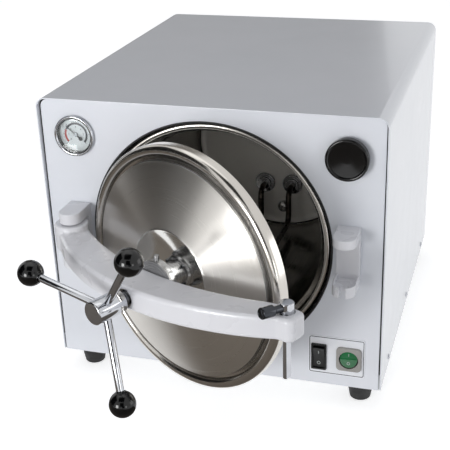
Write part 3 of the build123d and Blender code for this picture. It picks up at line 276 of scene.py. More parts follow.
def start_finish(name, colour, metallic=0.0, roughness=0.5, **more):
    """A material with its shader set; returns the material, tree, shader and place."""
    material = bpy.data.materials.new(name)
    material.use_nodes = True
    tree = material.node_tree
    tree.nodes.clear()
    shader = node(tree, "ShaderNodeBsdfPrincipled")
    node(tree, "ShaderNodeOutputMaterial", links={"Surface": shader.outputs["BSDF"]})
    shader.inputs["Base Color"].default_value = tone(colour)
    shader.inputs["Metallic"].default_value = metallic
    shader.inputs["Roughness"].default_value = roughness
    for key, value in more.items():
        shader.inputs[key.replace("_", " ")].default_value = value
    place = node(tree, "ShaderNodeTexCoord").outputs["Object"]
    return material, tree, shader, place


def per(size):
    """The scale of a pattern whose features are so many millimetres apart."""
    return 1000 / size


def vary(tree, shader, socket, place, size, low, high, detail=2.0):
    """Varies a value of the shader between two limits with a soft noise."""
    cloud = node(tree, "ShaderNodeTexNoise", {"Scale": per(size), "Detail": detail},
                 {"Vector": place})
    spread = node(tree, "ShaderNodeMapRange", {"From Min": 0.3, "From Max": 0.7,
                                              "To Min": low, "To Max": high},
                  {"Value": cloud.outputs["Fac"]})
    tree.links.new(spread.outputs["Result"], shader.inputs[socket])
    return cloud


def tint(tree, shader, place, size, first, second, detail=3.0):
    """Drifts the colour between two close tones."""
    cloud = node(tree, "ShaderNodeTexNoise", {"Scale": per(size), "Detail": detail},
                 {"Vector": place})
    ramp = node(tree, "ShaderNodeValToRGB", links={"Fac": cloud.outputs["Fac"]})
    ramp.color_ramp.elements[0].position = 0.35
    ramp.color_ramp.elements[1].position = 0.65
    ramp.color_ramp.elements[0].color = tone(first)
    ramp.color_ramp.elements[1].color = tone(second)
    tree.links.new(ramp.outputs["Color"], shader.inputs["Base Color"])


def relief(tree, shader, height, depth):
    """Raises the surface by a pattern's height, with a depth in millimetres."""
    bump = node(tree, "ShaderNodeBump", {"Strength": 1.0, "Distance": depth / 1000},
                {"Height": height})
    tree.links.new(bump.outputs["Normal"], shader.inputs["Normal"])


# %% [markdown]
# ## Stove enamel
# The case is sheet steel with a white enamel that is sprayed and baked. It dries
# with a faint orange peel, about 2 mm from hill to hill and some microns deep, which
# makes reflections waver without dulling them.

# %% White enamel on sheet
enamel, tree, shader, place = start_finish("stove_enamel", "E7EAF0", roughness=0.2, IOR=1.5,
                                           Coat_Weight=0.25, Coat_Roughness=0.06)
tint(tree, shader, place, 160, "E7EAF0", "E9EBF1")
vary(tree, shader, "Roughness", place, 60, 0.19, 0.23)
peel = node(tree, "ShaderNodeTexNoise", {"Scale": per(2.4), "Detail": 1.0}, {"Vector": place})
relief(tree, shader, peel.outputs["Fac"], 0.004)

# %% [markdown]
# The brackets and the crossbar are aluminium castings under the same white. The
# casting's grain shows through as a slightly coarser surface with softer gloss.

# %% White enamel on castings
cast_enamel, tree, shader, place = start_finish("cast_enamel", "E8E8EC", roughness=0.28,
                                                IOR=1.5, Coat_Weight=0.2,
                                                Coat_Roughness=0.12)
tint(tree, shader, place, 90, "E6E6EA", "E9E9ED")
vary(tree, shader, "Roughness", place, 30, 0.26, 0.31)
grain = node(tree, "ShaderNodeTexNoise", {"Scale": per(1.6), "Detail": 2.0},
             {"Vector": place})
relief(tree, shader, grain.outputs["Fac"], 0.005)

# %% [markdown]
# ## Turned and polished stainless steel
# The lid's face is turned, which leaves fine grooves all the way round it. Light
# then spreads across the grooves, and bright and dark fans run out from the middle.
# The real grooves are about a tenth of a millimetre apart; here they are drawn
# about 0.8 mm apart so that they show. The map made by `wrap` gives their direction.

# %% Turned face


def turned_steel(name, colour, roughness, grooves, depth, streak, metallic=1.0):
    """Stainless steel with grooves round the axis of the piece's own map."""
    material, tree, shader, place = start_finish(name, colour, metallic=metallic,
                                                 roughness=roughness, Anisotropic=streak,
                                                 Anisotropic_Rotation=0.25)
    around = node(tree, "ShaderNodeTangent", direction_type="UV_MAP", uv_map="turn")
    tree.links.new(around.outputs["Tangent"], shader.inputs["Tangent"])
    turn = node(tree, "ShaderNodeUVMap", uv_map="turn").outputs["UV"]
    rings = node(tree, "ShaderNodeMapping", {"Scale": (3, 1000 / 10 / grooves, 1)},
                 {"Vector": turn})
    lines = node(tree, "ShaderNodeTexNoise", {"Scale": 1.0, "Detail": 3.0},
                 {"Vector": rings.outputs["Vector"]})
    spread = node(tree, "ShaderNodeMapRange",
                  {"From Min": 0.3, "From Max": 0.7, "To Min": roughness * 0.9,
                   "To Max": roughness * 1.12}, {"Value": lines.outputs["Fac"]})
    tree.links.new(spread.outputs["Result"], shader.inputs["Roughness"])
    relief(tree, shader, lines.outputs["Fac"], depth)
    return material


lid_face = turned_steel("turned_stainless", "DEDBD6", 0.3, 0.8, 0.0018, 0.88)
lid_polish = turned_steel("polished_stainless", "C9C5BF", 0.18, 1.2, 0.0015, 0.6)
lid_mirror = turned_steel("mirror_stainless", "E0DFDC", 0.1, 2.0, 0.0006, 0.85)
satin_steel = turned_steel("satin_machined_steel", "B4B4B4", 0.26, 0.6, 0.003, 0.5)
# The chamber's back wall gets a lighter, less metallic copy of the steel, which paints light on
# it.
back_wall_painted_light = turned_steel("back_wall_steel_painted_light", "EFECE6", 0.5, 1.5, 0.003, 0.2, 0.35)

# %% [markdown]
# The chamber is deep drawn and bright. Its wall keeps faint marks along its length
# from the drawing, and is a little duller than the lid.

# %% Drawn chamber steel
drawn_steel, tree, shader, place = start_finish("drawn_stainless", "93918D", metallic=1.0,
                                                roughness=0.16)
long_marks = node(tree, "ShaderNodeMapping", {"Scale": (per(3), per(160), per(3))},
                  {"Vector": place})
marks = node(tree, "ShaderNodeTexNoise", {"Scale": 1.0, "Detail": 4.0},
             {"Vector": long_marks.outputs["Vector"]})
spread = node(tree, "ShaderNodeMapRange", {"From Min": 0.3, "From Max": 0.7,
                                          "To Min": 0.1, "To Max": 0.24},
              {"Value": marks.outputs["Fac"]})
tree.links.new(spread.outputs["Result"], shader.inputs["Roughness"])
relief(tree, shader, marks.outputs["Fac"], 0.006)

# %% [markdown]
# ## Chrome, dark steel, brass and copper
# Chrome plate is a near-perfect mirror with a cold tint. Fingers leave it with
# faint soft patches, so its roughness drifts a little.

# %% Bright and plain metals


def plain_metal(name, colour, other, low, high, patch, depth=0.0, grit=1.0):
    """A metal whose tone and roughness drift in patches of a given size."""
    material, tree, shader, place = start_finish(name, colour, metallic=1.0,
                                                 roughness=(low + high) / 2)
    tint(tree, shader, place, patch * 1.7, colour, other)
    vary(tree, shader, "Roughness", place, patch, low, high)
    if depth:
        speck = node(tree, "ShaderNodeTexNoise", {"Scale": per(grit), "Detail": 3.0},
                     {"Vector": place})
        relief(tree, shader, speck.outputs["Fac"], depth)
    return material


chrome = plain_metal("chrome_plate", "C3C5C9", "BABCC1", 0.03, 0.08, 12)
zinc = plain_metal("zinc_plated_sheet", "A9ACB0", "B9BBBC", 0.3, 0.45, 9, 0.01, 0.9)
oiled_steel = plain_metal("oiled_machined_steel", "6E7073", "84868A", 0.2, 0.36, 5, 0.006, 0.5)
burnt_steel = plain_metal("heat_darkened_steel", "3A3735", "59524C", 0.22, 0.4, 7, 0.01, 0.8)
brass = plain_metal("machined_brass", "C9A45A", "B8924A", 0.2, 0.34, 6, 0.005, 0.6)
copper = plain_metal("drawn_copper", "B8714B", "A35F3D", 0.24, 0.4, 8, 0.005, 0.8)

# %% [markdown]
# ## Phenolic, plastic, rubber and glass
# The balls and the vent knob are moulded phenolic, polished black. Everyday plastic
# is duller and has a spark-eroded grain. Rubber is duller again, with a bloom that
# greys it in patches.

# %% Moulded materials


def moulded(name, colour, other, low, high, grit, depth, **more):
    """A plastic or rubber with a fine moulded grain."""
    material, tree, shader, place = start_finish(name, colour, roughness=(low + high) / 2,
                                                 **more)
    tint(tree, shader, place, 16, colour, other)
    vary(tree, shader, "Roughness", place, 9, low, high)
    speck = node(tree, "ShaderNodeTexNoise", {"Scale": per(grit), "Detail": 3.0},
                 {"Vector": place})
    relief(tree, shader, speck.outputs["Fac"], depth)
    return material


phenolic = moulded("polished_phenolic", "040405", "070708", 0.08, 0.14, 3.0, 0.002,
                   IOR=1.45)
black_plastic = moulded("black_moulded_plastic", "0B0C0E", "101113", 0.3, 0.42, 0.5, 0.012)
grey_plastic = moulded("taupe_moulded_plastic", "9A9793", "A29F9B", 0.36, 0.5, 0.5, 0.012)
rubber = moulded("moulded_black_rubber", "121213", "1D1D1E", 0.5, 0.7, 0.8, 0.02)
silicone = moulded("cast_silicone_rubber", "D9D6CE", "E2DFD8", 0.38, 0.5, 1.2, 0.01)
blanket = moulded("glass_fibre_blanket", "CFC9B6", "DED9C8", 0.85, 0.95, 1.5, 0.4)
green_lens = moulded("green_lens_plastic", "0A6233", "0C6C3A", 0.12, 0.2, 2.0, 0.003,
                     IOR=1.5, Coat_Weight=0.5)
label_white = moulded("printed_white_film", "F3F4F8", "EEF0F5", 0.3, 0.42, 1.0, 0.003)
ink_dark = moulded("printed_dark_ink", "171B2B", "1E2233", 0.4, 0.5, 1.0, 0.001)
ink_red = moulded("printed_red_ink", "B02A26", "BB332E", 0.4, 0.5, 1.0, 0.001)
ink_pale = moulded("moulded_in_pale_mark", "A9AFAD", "B4B9B7", 0.35, 0.45, 1.0, 0.001)
dial_grey = moulded("dial_lacquer", "E4E7E9", "EAECEE", 0.35, 0.45, 1.0, 0.002)
needle_black = moulded("needle_lacquer", "141416", "1A1A1C", 0.3, 0.4, 1.0, 0.001)

glass, tree, shader, place = start_finish("window_glass", "F7FAFA", roughness=0.02,
                                          Transmission_Weight=1.0, IOR=1.45)
vary(tree, shader, "Roughness", place, 12, 0.0, 0.03)

# %% [markdown]
# ## The case
# The cover is one sheet folded over the body. Its cut edges are slightly round from
# deburring, and that thin bright line is what tells the eye that it is sheet.

# %% Cover, panels and tray
finish(refined("cover", 0.45), enamel, "base", "cover_enamel", "cover")
for sheet in ("front_panel", "rear_panel"):
    finish(refined(sheet, 0.3), enamel, "base", "panel_enamel", sheet)
for sheet in ("base_pan", "front_saddle", "rear_saddle"):
    finish(refined(sheet, 0.3), zinc, "base", "sheet_steel", sheet)
finish(refined("jacket", 1.0), blanket, "base", "blanket", "jacket")

# %% [markdown]
# A black strip fills the 1.8 mm gap between the panel and the cover. It is painted
# shadow, so the gap reads as a clean dark line.

# %% Painted shadow strip in the gap


def arch_row(half, bottom, top, corner, y, parts=8):
    """Points along an upright arch with round top corners, from left to right."""
    row = [(-half, y, bottom)]
    for centre, first in ((-half + corner, math.pi), (half - corner, math.pi / 2)):
        for step in range(parts + 1):
            turn = first - math.pi / 2 * step / parts
            row.append((centre + corner * math.cos(turn), y,
                        top - corner + corner * math.sin(turn)))
    return row + [(half, y, bottom)]


# A black strip that paints the shadow in the gap between panel and cover.
strip = empty_piece("gap_painted_shadow_strip")
shape = bmesh.new()
rows = [[shape.verts.new(point(*spot)) for spot in arch_row(half, 50, top, corner, y)]
        for half, top, corner, y in ((196.8, 354.8, 8.8, 1.0), (198.4, 356.4, 10.4, 1.0),
                                     (198.4, 356.4, 10.4, 4.0), (196.8, 354.8, 8.8, 4.0))]
for a, b in zip(rows, rows[1:] + rows[:1]):
    for i in range(len(a) - 1):
        shape.faces.new((a[i], a[i + 1], b[i + 1], b[i]))
shape.faces.new([row[0] for row in rows])
shape.faces.new([row[-1] for row in rows])
bmesh.ops.recalc_face_normals(shape, faces=shape.faces)
shape.to_mesh(strip.data)
shape.free()
finish(strip, rubber, "base", "black_rubber")

# %% [markdown]
# ## Feet
# Each foot is a moulded rubber cone with a washer seat and a rounded sole.

# %% Rubber feet
foot_section = eased([(0, 0), (0, 10.5), (1.2, 12.3), (26.8, 16.9), (28, 16.2), (28, 0)], 1.0)
for name in ("foot_front_left", "foot_front_right", "foot_rear_left", "foot_rear_right"):
    low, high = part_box(name)
    middle = Vector(((low.x + high.x) / 2, (low.y + high.y) / 2, 0))
    foot = turned(name + "_rubber", foot_section, middle, (0, 0, 1), 48)
    finish(foot, rubber, "base", "black_rubber", name)

# %% [markdown]
# ## Cover screws
# Small pan-head screws hold the cover along its bottom edges. One is turned, its
# cross is cut with a boolean, and the rest are copies with meshes of their own.

# %% Pan-head screws
screw_spots = [(side * 200, 60 + step * 164, 39) for side in (-1, 1) for step in range(3)]
heads = []
for x, y, z in screw_spots:
    side = 1 if x > 0 else -1
    section = [(-0.1, 0), (-0.1, 3.4), (0.5, 3.5), (1.2, 3.0), (1.7, 1.8), (1.9, 0)]
    head = turned("pan_head", eased(section, 0.3), Vector((0, 0, 0)), (0, 1, 0), 24)
    for turn in (0, math.pi / 2):
        bpy.ops.object.select_all(action="DESELECT")
        bpy.ops.mesh.primitive_cube_add(size=1, location=(0, 0.0016, 0), rotation=(0, turn, 0),
                                        scale=(0.0044, 0.0014, 0.0008))
        blade = bpy.context.active_object
        cut = head.modifiers.new("cross", "BOOLEAN")
        cut.object = blade
        cut.solver = "EXACT"
        pick(head)
        bpy.ops.object.modifier_apply(modifier="cross")
        bpy.data.objects.remove(blade)
    spin = Matrix.Rotation(-side * math.pi / 2, 4, "Z") @ Matrix.Rotation(0.4 * y, 4, "Y")
    head.data.transform(Matrix.Translation(point(x, y, z)) @ spin)
    heads.append(head)
finish(joined(*heads), chrome, "base", "chrome", "cover_screws").name = "cover_screw_heads"

# %% [markdown]
# ## The chamber and its rim
# The chamber is a drawn cup with a round corner at its back, welded into a rolled
# rim ring. A rubber trim covers the cut edge of the panel round them.

# %% Chamber, rim ring and trim
inside = [(20, 125)] + bow((329, 125), (337.5, 121.5), (341, 113), 8) + [(341.6, 60), (342, 0)]
outside = [(344, 0), (344, 122), (339, 127), (20, 127), (20, 125)]
chamber = turned("chamber_shell", inside + outside, on_axis, steps=160)
chamber.data.materials.append(drawn_steel)
chamber.data.materials.append(back_wall_painted_light)
# The back wall's faces take the lighter steel copy, which is painted light.
for face in chamber.data.polygons:
    back = face.center.y > point(0, 335, 0).y and face.normal.y < -0.7
    face.material_index = 1 if back else 0
finish(chamber, None, "base", "chamber_steel", "chamber")

bead = bow((9, 139), (4.5, 134.5), (9, 130), 14)
ring = bead + eased([(9, 130), (15.5, 130), (20, 125), (20, 127), (32, 127), (32, 129),
                     (18, 129), (13, 139), (9, 139)], 0.4)
rim = turned("rim_ring_rolled", ring, on_axis, steps=192, smooth=40)
finish(rim, lid_polish, "base", "stainless", "rim_ring")

lip = eased([(-1.2, 140.3), (-0.6, 139.8), (3.2, 139.8), (3.2, 142), (2, 142), (2, 140.9),
             (0, 140.9), (0, 142), (-0.7, 142), (-1.2, 141.5)], 0.3, closed=True, parts=2)
trim = turned("panel_edge_trim", lip, on_axis, steps=160)
finish(trim, rubber, "base", "black_rubber", "hole_trim")

# %% [markdown]
# ## Heater, its fittings and the probe
# A bent steel tube heats the water on the chamber's floor. It comes in through two
# hexagon fittings in the back wall, with the probe between and below them.

# %% Inside the chamber
finish(refined("heater"), burnt_steel, "base", "heater_steel", "heater")
parts = []
for x in (-25, 16):
    collar = turned("fitting", eased([(341, 0), (341, 15), (339.5, 15), (338, 13.6),
                                      (338, 9.6), (334, 9), (334, 0)], 0.5),
                    point(x, 0, 138), steps=40)
    parts.append(collar)
fittings = joined(*parts)
finish(fittings, chrome, "base", "screw_steel", "heater_fittings").name = "heater_collars"
boss = turned("probe_boss", eased([(341, 0), (341, 8.5), (336, 8.5), (334, 7.2), (332, 3.5),
                                   (332, 0)], 0.8), point(3, 0, 103), steps=40)
finish(boss, satin_steel, "base", "screw_steel", "probe")

# %% [markdown]
# ## Brackets and hinge
# Both brackets are the same pattern of casting: a back plate and two ears with
# round fronts. The chromed hinge pin stands in the left one, with a spacer below the
# crossbar and a thin washer above it.

# %% Brackets, pin and spacers
finish(refined("left_bracket", 0.9), cast_enamel, "base", "cast_enamel", "left_bracket")
finish(refined("right_bracket", 0.7), cast_enamel, "base", "cast_enamel", "right_bracket")
pin = [(162, 0), (162, 7.2), (162.8, 8), (164.5, 8), (164.5, 5), (228.5, 5), (228.5, 0)]
finish(turned("hinge_pin_turned", eased(pin, 0.5), point(hinge_x, hinge_y, 0), (0, 0, 1), 48),
       chrome, "base", "chrome", "hinge_pin")
spacer_steel = plain_metal("spacer_steel", "B4B5B7", "A6A8AB", 0.18, 0.3, 5)
finish(refined("hinge_spacers", 0.2), spacer_steel, "base", "screw_steel", "hinge_spacers")

# %% [markdown]
# ## Crossbar and its bushes
# The crossbar is an arched casting with generous rounds. It carries a brass bush at
# the hinge, a steel one at the lock, and a steel nut in the middle, which the
# clamping screw runs through.

# %% Crossbar, bushes and nut
finish(refined("crossbar"), cast_enamel, "crossbar", "cast_enamel", "crossbar")
finish(refined("hinge_bush", 0.3), brass, "crossbar", "brass", "hinge_bush")
finish(refined("lock_bush", 0.3), spacer_steel, "crossbar", "screw_steel", "lock_bush")
nut = eased([(-91, 8.12), (-40, 8.12), (-40, 25), (-49, 25), (-49, 10.25), (-91, 10.25)], 0.8,
            closed=True)
nut = turned("nut_flange", nut, on_axis, steps=96)
peg = turned("nut_peg", eased([(21, 0), (21, 3), (31, 3), (31, 0)], 0.6),
             point(0, -44.5, axis_z), (0, 0, 1), 24)
finish(joined(nut, peg), satin_steel, "crossbar", "screw_steel", "nut_bush", on_door=True)

# %% [markdown]
# ## The lid
# The lid is a heavy disc turned from stainless steel. From the edge inwards it has a
# polished bead, a narrow groove, a brushed face that rises like a shallow cone, and
# a mirror-polished dish in the middle. Each zone is a band of faces of one piece,
# so the bands share their edges and meet without a gap.

# %% Lid
groove_outer = 123.9
groove_inner = 122.2
dish_radius = 52.5
dish_front = -28.3
seal_outer = 130
front = [(1.5, 138.8), (-6.5, 138.8)] + bow((-6.5, 138.8), (-12.5, 132.8), (-6.5, 126.8), 20)
front += eased([(-6.5, 126.8), (-5.5, 123.8), (-13, 122.4), (-13.6, 119.4),
                (-14.4, 117)], 0.6)
front += bow((-14.4, 117), (-21.4, 88), (-28, 52.6), 24)
front += [(-28.2, 52.2), (-28.2, 51.6)]
front += bow((-28, 51.2), (-19.8, 35), (-14.2, 20), 24)
front += [(-14, 19), (-14, 0)]
rear = eased([(-9, 0), (-9, 17), (-23, 48), (-23, 56), (-7.5, 116), (0, 121.5),
              (0, 125.5), (1.5, 125.5), (1.5, 130.5), (-1.5, 130.5), (-1.5, 138), (1.5, 138),
              (1.5, 138.8)], 0.3)
lid = turned("lid_turned", front + rear, on_axis, steps=192, smooth=24)
for material in (lid_face, lid_polish, lid_mirror, satin_steel):
    lid.data.materials.append(material)
for face in lid.data.polygons:
    out = math.hypot(face.center.x - on_axis.x, face.center.z - on_axis.z) * 1000
    deep = (face.center.y - on_axis.y) * 1000
    if out > groove_outer:
        face.material_index = 1
    elif out > groove_inner:
        face.material_index = 3
    elif out < dish_radius and deep > dish_front:
        face.material_index = 2
    if face.normal.y > 0.1 and out < seal_outer:
        face.material_index = 3
finish(lid, None, "lid", "stainless", "lid", on_door=True)

liner = eased([(0, 0), (0, 125.4), (1.5, 125.4), (1.5, 0)], 0.5)
finish(turned("lid_liner_turned", liner, on_axis, steps=160), lid_face, "lid",
       "stainless", "lid_liner", on_door=True)

seal = eased([(-1.5, 130.5), (1.5, 130.5), (2.5, 131.5), (2.5, 137), (1.5, 138), (-1.5, 138)],
             0.5, closed=True)
finish(turned("lid_seal", seal, on_axis, steps=160), silicone, "lid",
       "seal_rubber", "lid_gasket", on_door=True)

# %% [markdown]
# ## Thrust boss and its screws
# The boss in the middle of the dish takes the screw's push and lets it turn. Four
# socket screws hold its flange.

# %% Boss and socket screws
hub = eased([(-14, 0), (-14, 19), (-17, 17), (-17, 14), (-33, 14), (-33, 5.55),
             (-20, 5.55), (-20, 0)], 0.7)
finish(turned("thrust_boss_turned", hub, on_axis, steps=96), satin_steel, "lid",
       "screw_steel", "thrust_boss", on_door=True)
bolt_circle = 16
sockets = []
for index in range(4):
    turn = math.radians(45 + 90 * index)
    spot = point(bolt_circle * math.cos(turn), 0, axis_z + bolt_circle * math.sin(turn))
    cap = eased([(-17, 0), (-17, 2), (-20, 2), (-20, 1.2), (-18.6, 1.2), (-18.6, 0)], 0.2)
    sockets.append(turned("socket_screw", cap, spot, steps=24))
finish(joined(*sockets), oiled_steel, "lid", "screw_steel", "boss_screws",
       on_door=True).name = "boss_socket_screws"

# %% [markdown]
# ## Clamping screw
# The thread is real here: one pitch of its outline is carried round and along by a
# Screw modifier. The two open ends are then filled.

# %% Screw with its thread
pitch = 4
thread_start = -98
thread_turns = 14
outline = [(0, 6.9), (1.2, 8), (2, 8), (3.2, 6.9), (4, 6.9)]
thread = empty_piece("screw_thread")
shape = bmesh.new()
dots = [shape.verts.new((r / 1000, y / 1000, 0)) for y, r in outline]
for a, b in zip(dots, dots[1:]):
    shape.edges.new((a, b))
shape.to_mesh(thread.data)
shape.free()
pick(thread)
coil = thread.modifiers.new("thread", "SCREW")
coil.axis = "Y"
coil.screw_offset = pitch / 1000
coil.iterations = thread_turns
coil.steps = 32
coil.render_steps = 32
coil.use_merge_vertices = True
bpy.ops.object.modifier_apply(modifier="thread")
bpy.ops.object.mode_set(mode="EDIT")
bpy.ops.mesh.select_all(action="SELECT")
bpy.ops.mesh.remove_doubles(threshold=0.00001)
bpy.ops.mesh.select_all(action="DESELECT")
bpy.ops.mesh.select_non_manifold()
bpy.ops.mesh.edge_face_add()
bpy.ops.mesh.select_all(action="SELECT")
bpy.ops.mesh.normals_make_consistent(inside=False)
bpy.ops.object.mode_set(mode="OBJECT")
bpy.ops.object.shade_smooth_by_angle(angle=math.radians(30))
wrap(thread)
thread.data.transform(Matrix.Translation(point(0, thread_start, axis_z)))
neck = turned("screw_neck", eased([(-39, 0), (-39, 6.9), (-34, 6.9), (-34, 5.5), (-23, 5.5),
                                   (-23, 0)], 0.5), on_axis, steps=48)
stub = turned("screw_end", eased([(-131, 0), (-131, 5.5), (-96, 5.5), (-96, 0)], 0.4),
              on_axis, steps=48)
finish(joined(thread, neck, stub), oiled_steel, "star_handle", "screw_steel", "screw",
       on_door=True)

# %% [markdown]
# ## Star handle
# A chromed hub carries three chromed rods, and a black phenolic ball is screwed on
# the end of each. The rods lean forwards by ten degrees to keep the hand clear.

# %% Hub, rods and balls
hub = eased([(-135, 0), (-135, 11.4), (-134, 12.5), (-99.2, 12.5), (-98, 11.4), (-98, 5.6),
             (-101, 5.6), (-101, 0)], 0.5)
finish(turned("star_hub_turned", hub, on_axis, steps=96), chrome, "star_handle",
       "chrome", "star_hub", on_door=True)
lean = math.radians(10)
first_rod = 51
ball_y = -135
ball_circle = 97
ball_radius = 14
rod_radius = 4.25
rod_depth = 6
hub_radius = 12.5
mouth = 0.46
for index in range(3):
    turn = math.radians(first_rod + 120 * index)
    along = Vector((math.cos(turn) * math.cos(lean), -math.sin(lean),
                    math.sin(turn) * math.cos(lean)))
    ball_centre = point(ball_circle * math.cos(turn), ball_y,
                        axis_z + ball_circle * math.sin(turn))
    rod_start = hub_radius - rod_depth - ball_circle / math.cos(lean)
    rod = eased([(rod_start, 0), (rod_start, rod_radius), (-9, rod_radius), (-9, 0)], 0.4)
    rod = turned("star_rod_chromed_%d" % (index + 1), rod, ball_centre, along, 48)
    finish(rod, chrome, "star_handle", "chrome", "star_rod_%d" % (index + 1), on_door=True)
    angles = [mouth + (math.pi - mouth) * i / 30 for i in range(30)]
    around = [(-ball_radius * math.cos(a), ball_radius * math.sin(a)) for a in angles]
    ball = [(-11.5, 0), (-11.5, 4.35), (-12.9, 4.6), (-13.1, 5.6)] + around + [(ball_radius, 0)]
    ball = turned("star_ball_moulded_%d" % (index + 1), ball, ball_centre, along, 64)
    finish(ball, phenolic, "star_handle", "black_phenolic", "star_ball_%d" % (index + 1),
           on_door=True)

# %% [markdown]
# ## Lock pin and its lever
# The lock pin stands in the crossbar's free end. Its tail has two flats, and a
# quarter turn of the lever above locks it behind the slot in the lower ear.

# %% Lock
finish(refined("lock_pin", 0.25), chrome, "lock", "chrome", "lock_pin")
lever_turn = math.radians(-102)
rise = math.radians(6)
outward = Vector((math.cos(lever_turn) * math.cos(rise), math.sin(lever_turn) * math.cos(rise),
                  math.sin(rise)))
root = point(lock_x, hinge_y, 216.15)
lever = eased([(6, 0), (6, 4.1), (15, 4.1), (17.2, 5.9), (30.3, 5.9), (31, 5.2), (31, 4.6),
               (30.4, 4.4), (30.4, 0)], 0.45)
# The lever's chrome is given a dark colour, which paints in its dark reflection.
lever_chrome_painted_dark = plain_metal("chrome_with_painted_dark_reflection", "3C3E42", "434549", 0.04, 0.09, 12)
finish(turned("lock_lever", lever, root, outward, 64), lever_chrome_painted_dark, "lock", "chrome",
       "lock_handle", on_door=True)

# %% [markdown]
# ## Pressure gauge
# The gauge is a bought-in one: a chromed bezel, a flat glass, a grey lacquered dial
# with a printed scale, and a needle with a weighted tail.

# %% Gauge case, bezel and glass
gauge = point(-157, 0, 314)
finish(refined("gauge_body", 0.3), oiled_steel, "base", "screw_steel", "gauge_body")
bezel = ([(0, 20.5), (0, 24)] + bow((-1.5, 24), (-4.5, 22.4), (-3.3, 20.5), 10)
         + [(0, 20.5)])
finish(turned("gauge_bezel_chromed", eased(bezel[:-1], 0.15, closed=True, parts=2), gauge,
              steps=96), chrome, "base", "chrome", "gauge_bezel")
pane = eased([(-2.9, 0), (-2.7, 20.4), (-1.9, 20.4), (-1.9, 0)], 0.2)
finish(turned("gauge_window", pane, gauge, steps=64), glass, "base", "window_glass",
       "gauge_lens")

# %% [markdown]
# The dial's scale is a printed arc with fine ticks and plain numbers. It is made of
# thin raised shapes, so it stays sharp close up.

# %% Dial with its scale


def sector(name, inner, outer, start, end, height, parts):
    """A flat printed arc; angles in degrees from the right, towards the top."""
    piece = empty_piece(name)
    shape = bmesh.new()
    rows = []
    for index in range(parts + 1):
        turn = math.radians(start + (end - start) * index / parts)
        rows.append([shape.verts.new((r * math.cos(turn) / 1000, y / 1000,
                                      r * math.sin(turn) / 1000))
                     for r, y in ((inner, height), (outer, height), (outer, height + 0.08),
                                  (inner, height + 0.08))])
    for a, b in zip(rows, rows[1:]):
        for i in range(4):
            shape.faces.new((a[i], a[(i + 1) % 4], b[(i + 1) % 4], b[i]))
    shape.faces.new(rows[0][::-1])
    shape.faces.new(rows[-1])
    bmesh.ops.recalc_face_normals(shape, faces=shape.faces)
    shape.to_mesh(piece.data)
    shape.free()
    piece.data.transform(Matrix.Translation(gauge))
    return piece


dial_top = 2.92
scale_start = 222
scale_end = -42
plate = turned("dial_plate", eased([(3, 0), (3, 20.4), (4, 20.4), (4, 0)], 0.15), gauge,
               steps=64)
plate.data.materials.append(dial_grey)
print_parts = [sector("scale", 11.4, 13.6, scale_start - 68, scale_end, dial_top, 48)]
red = sector("limit", 11.4, 13.6, scale_start, scale_start - 66, dial_top, 16)
for index in range(31):
    turn = scale_start + (scale_end - scale_start) * index / 30
    outer = 15.6 if index % 5 == 0 else 14.6
    print_parts.append(sector("tick", 13.5, outer, turn - 0.6, turn + 0.6, dial_top, 1))
for index in range(7):
    turn = math.radians(scale_start + (scale_end - scale_start) * index / 6)
    bpy.ops.object.select_all(action="DESELECT")
    bpy.ops.object.text_add(location=(0, 0, 0), rotation=(math.pi / 2, 0, 0))
    digit = bpy.context.active_object
    digit.data.body = str(index)
    digit.data.size = 0.0032
    digit.data.align_x = "CENTER"
    digit.data.align_y = "CENTER"
    digit.data.extrude = 0.00004
    bpy.ops.object.convert(target="MESH")
    digit = bpy.context.active_object
    bpy.ops.object.transform_apply(location=True, rotation=True, scale=True)
    digit.data.transform(Matrix.Translation(gauge + Vector((
        0.0085 * math.cos(turn), dial_top / 1000, 0.0085 * math.sin(turn)))))
    print_parts.append(digit)
for part in print_parts:
    part.data.materials.clear()
    part.data.materials.append(ink_dark)
red.data.materials.append(ink_red)
dial = joined(plate, *print_parts, red)
finish(dial, None, "base", "dial_face", "gauge_dial").name = "gauge_dial_printed"

# %% Painted shadow ring, needle and its cap
# A black ring inside the bezel paints the shadow between the bezel and the dial.
shade = eased([(-1.7, 19.4), (-1.7, 20.4), (2.8, 20.4), (2.8, 19.4)], 0.15, closed=True)
finish(turned("gauge_painted_shadow_ring", shade, gauge, steps=64), needle_black, "base", "screw_steel")
finish(refined("gauge_needle", 0.1), needle_black, "gauge_needle", "needle_black",
       "gauge_needle")
cap = eased([(1.6, 0.9), (1.6, 2.3), (1.25, 2.3), (1.25, 0.9)], 0.2, closed=True)
finish(turned("needle_cap", cap, gauge, steps=32), chrome, "gauge_needle", "needle_black")

# %% [markdown]
# ## Vent knob
# The vent knob is a polished phenolic disc with a rolled rim round a dished face.

# %% Knob and valve
knob_centre = point(157, 0, 311)
knob = [(-2.7, 0), (-2.7, 22), (-4.2, 23.5)]
knob += bow((-9.7, 23.5), (-11.7, 21.5), (-9.7, 19.5), 12)
knob += bow((-9.7, 19.5), (-9.15, 11.75), (-8.7, 4), 10) + [(-8.7, 0)]
knob = turned("vent_knob_polished", knob, knob_centre, steps=96)
shaft = turned("vent_shaft", eased([(-4, 0), (-4, 4), (30, 4), (30, 0)], 0.3), knob_centre,
               steps=32)
finish(joined(knob, shaft), phenolic, "vent_knob", "black_phenolic", "vent_knob")
finish(refined("vent_valve", 0.4), brass, "base", "brass", "vent_valve")

# %% [markdown]
# ## Switch plate
# A white plate with a thin dark border carries both switches. The border is a
# shallow raised frame that lies on the plate's face.

# %% Plate with its border
finish(refined("label_plate", 0.15), label_white, "base", "plate_print", "label_plate")


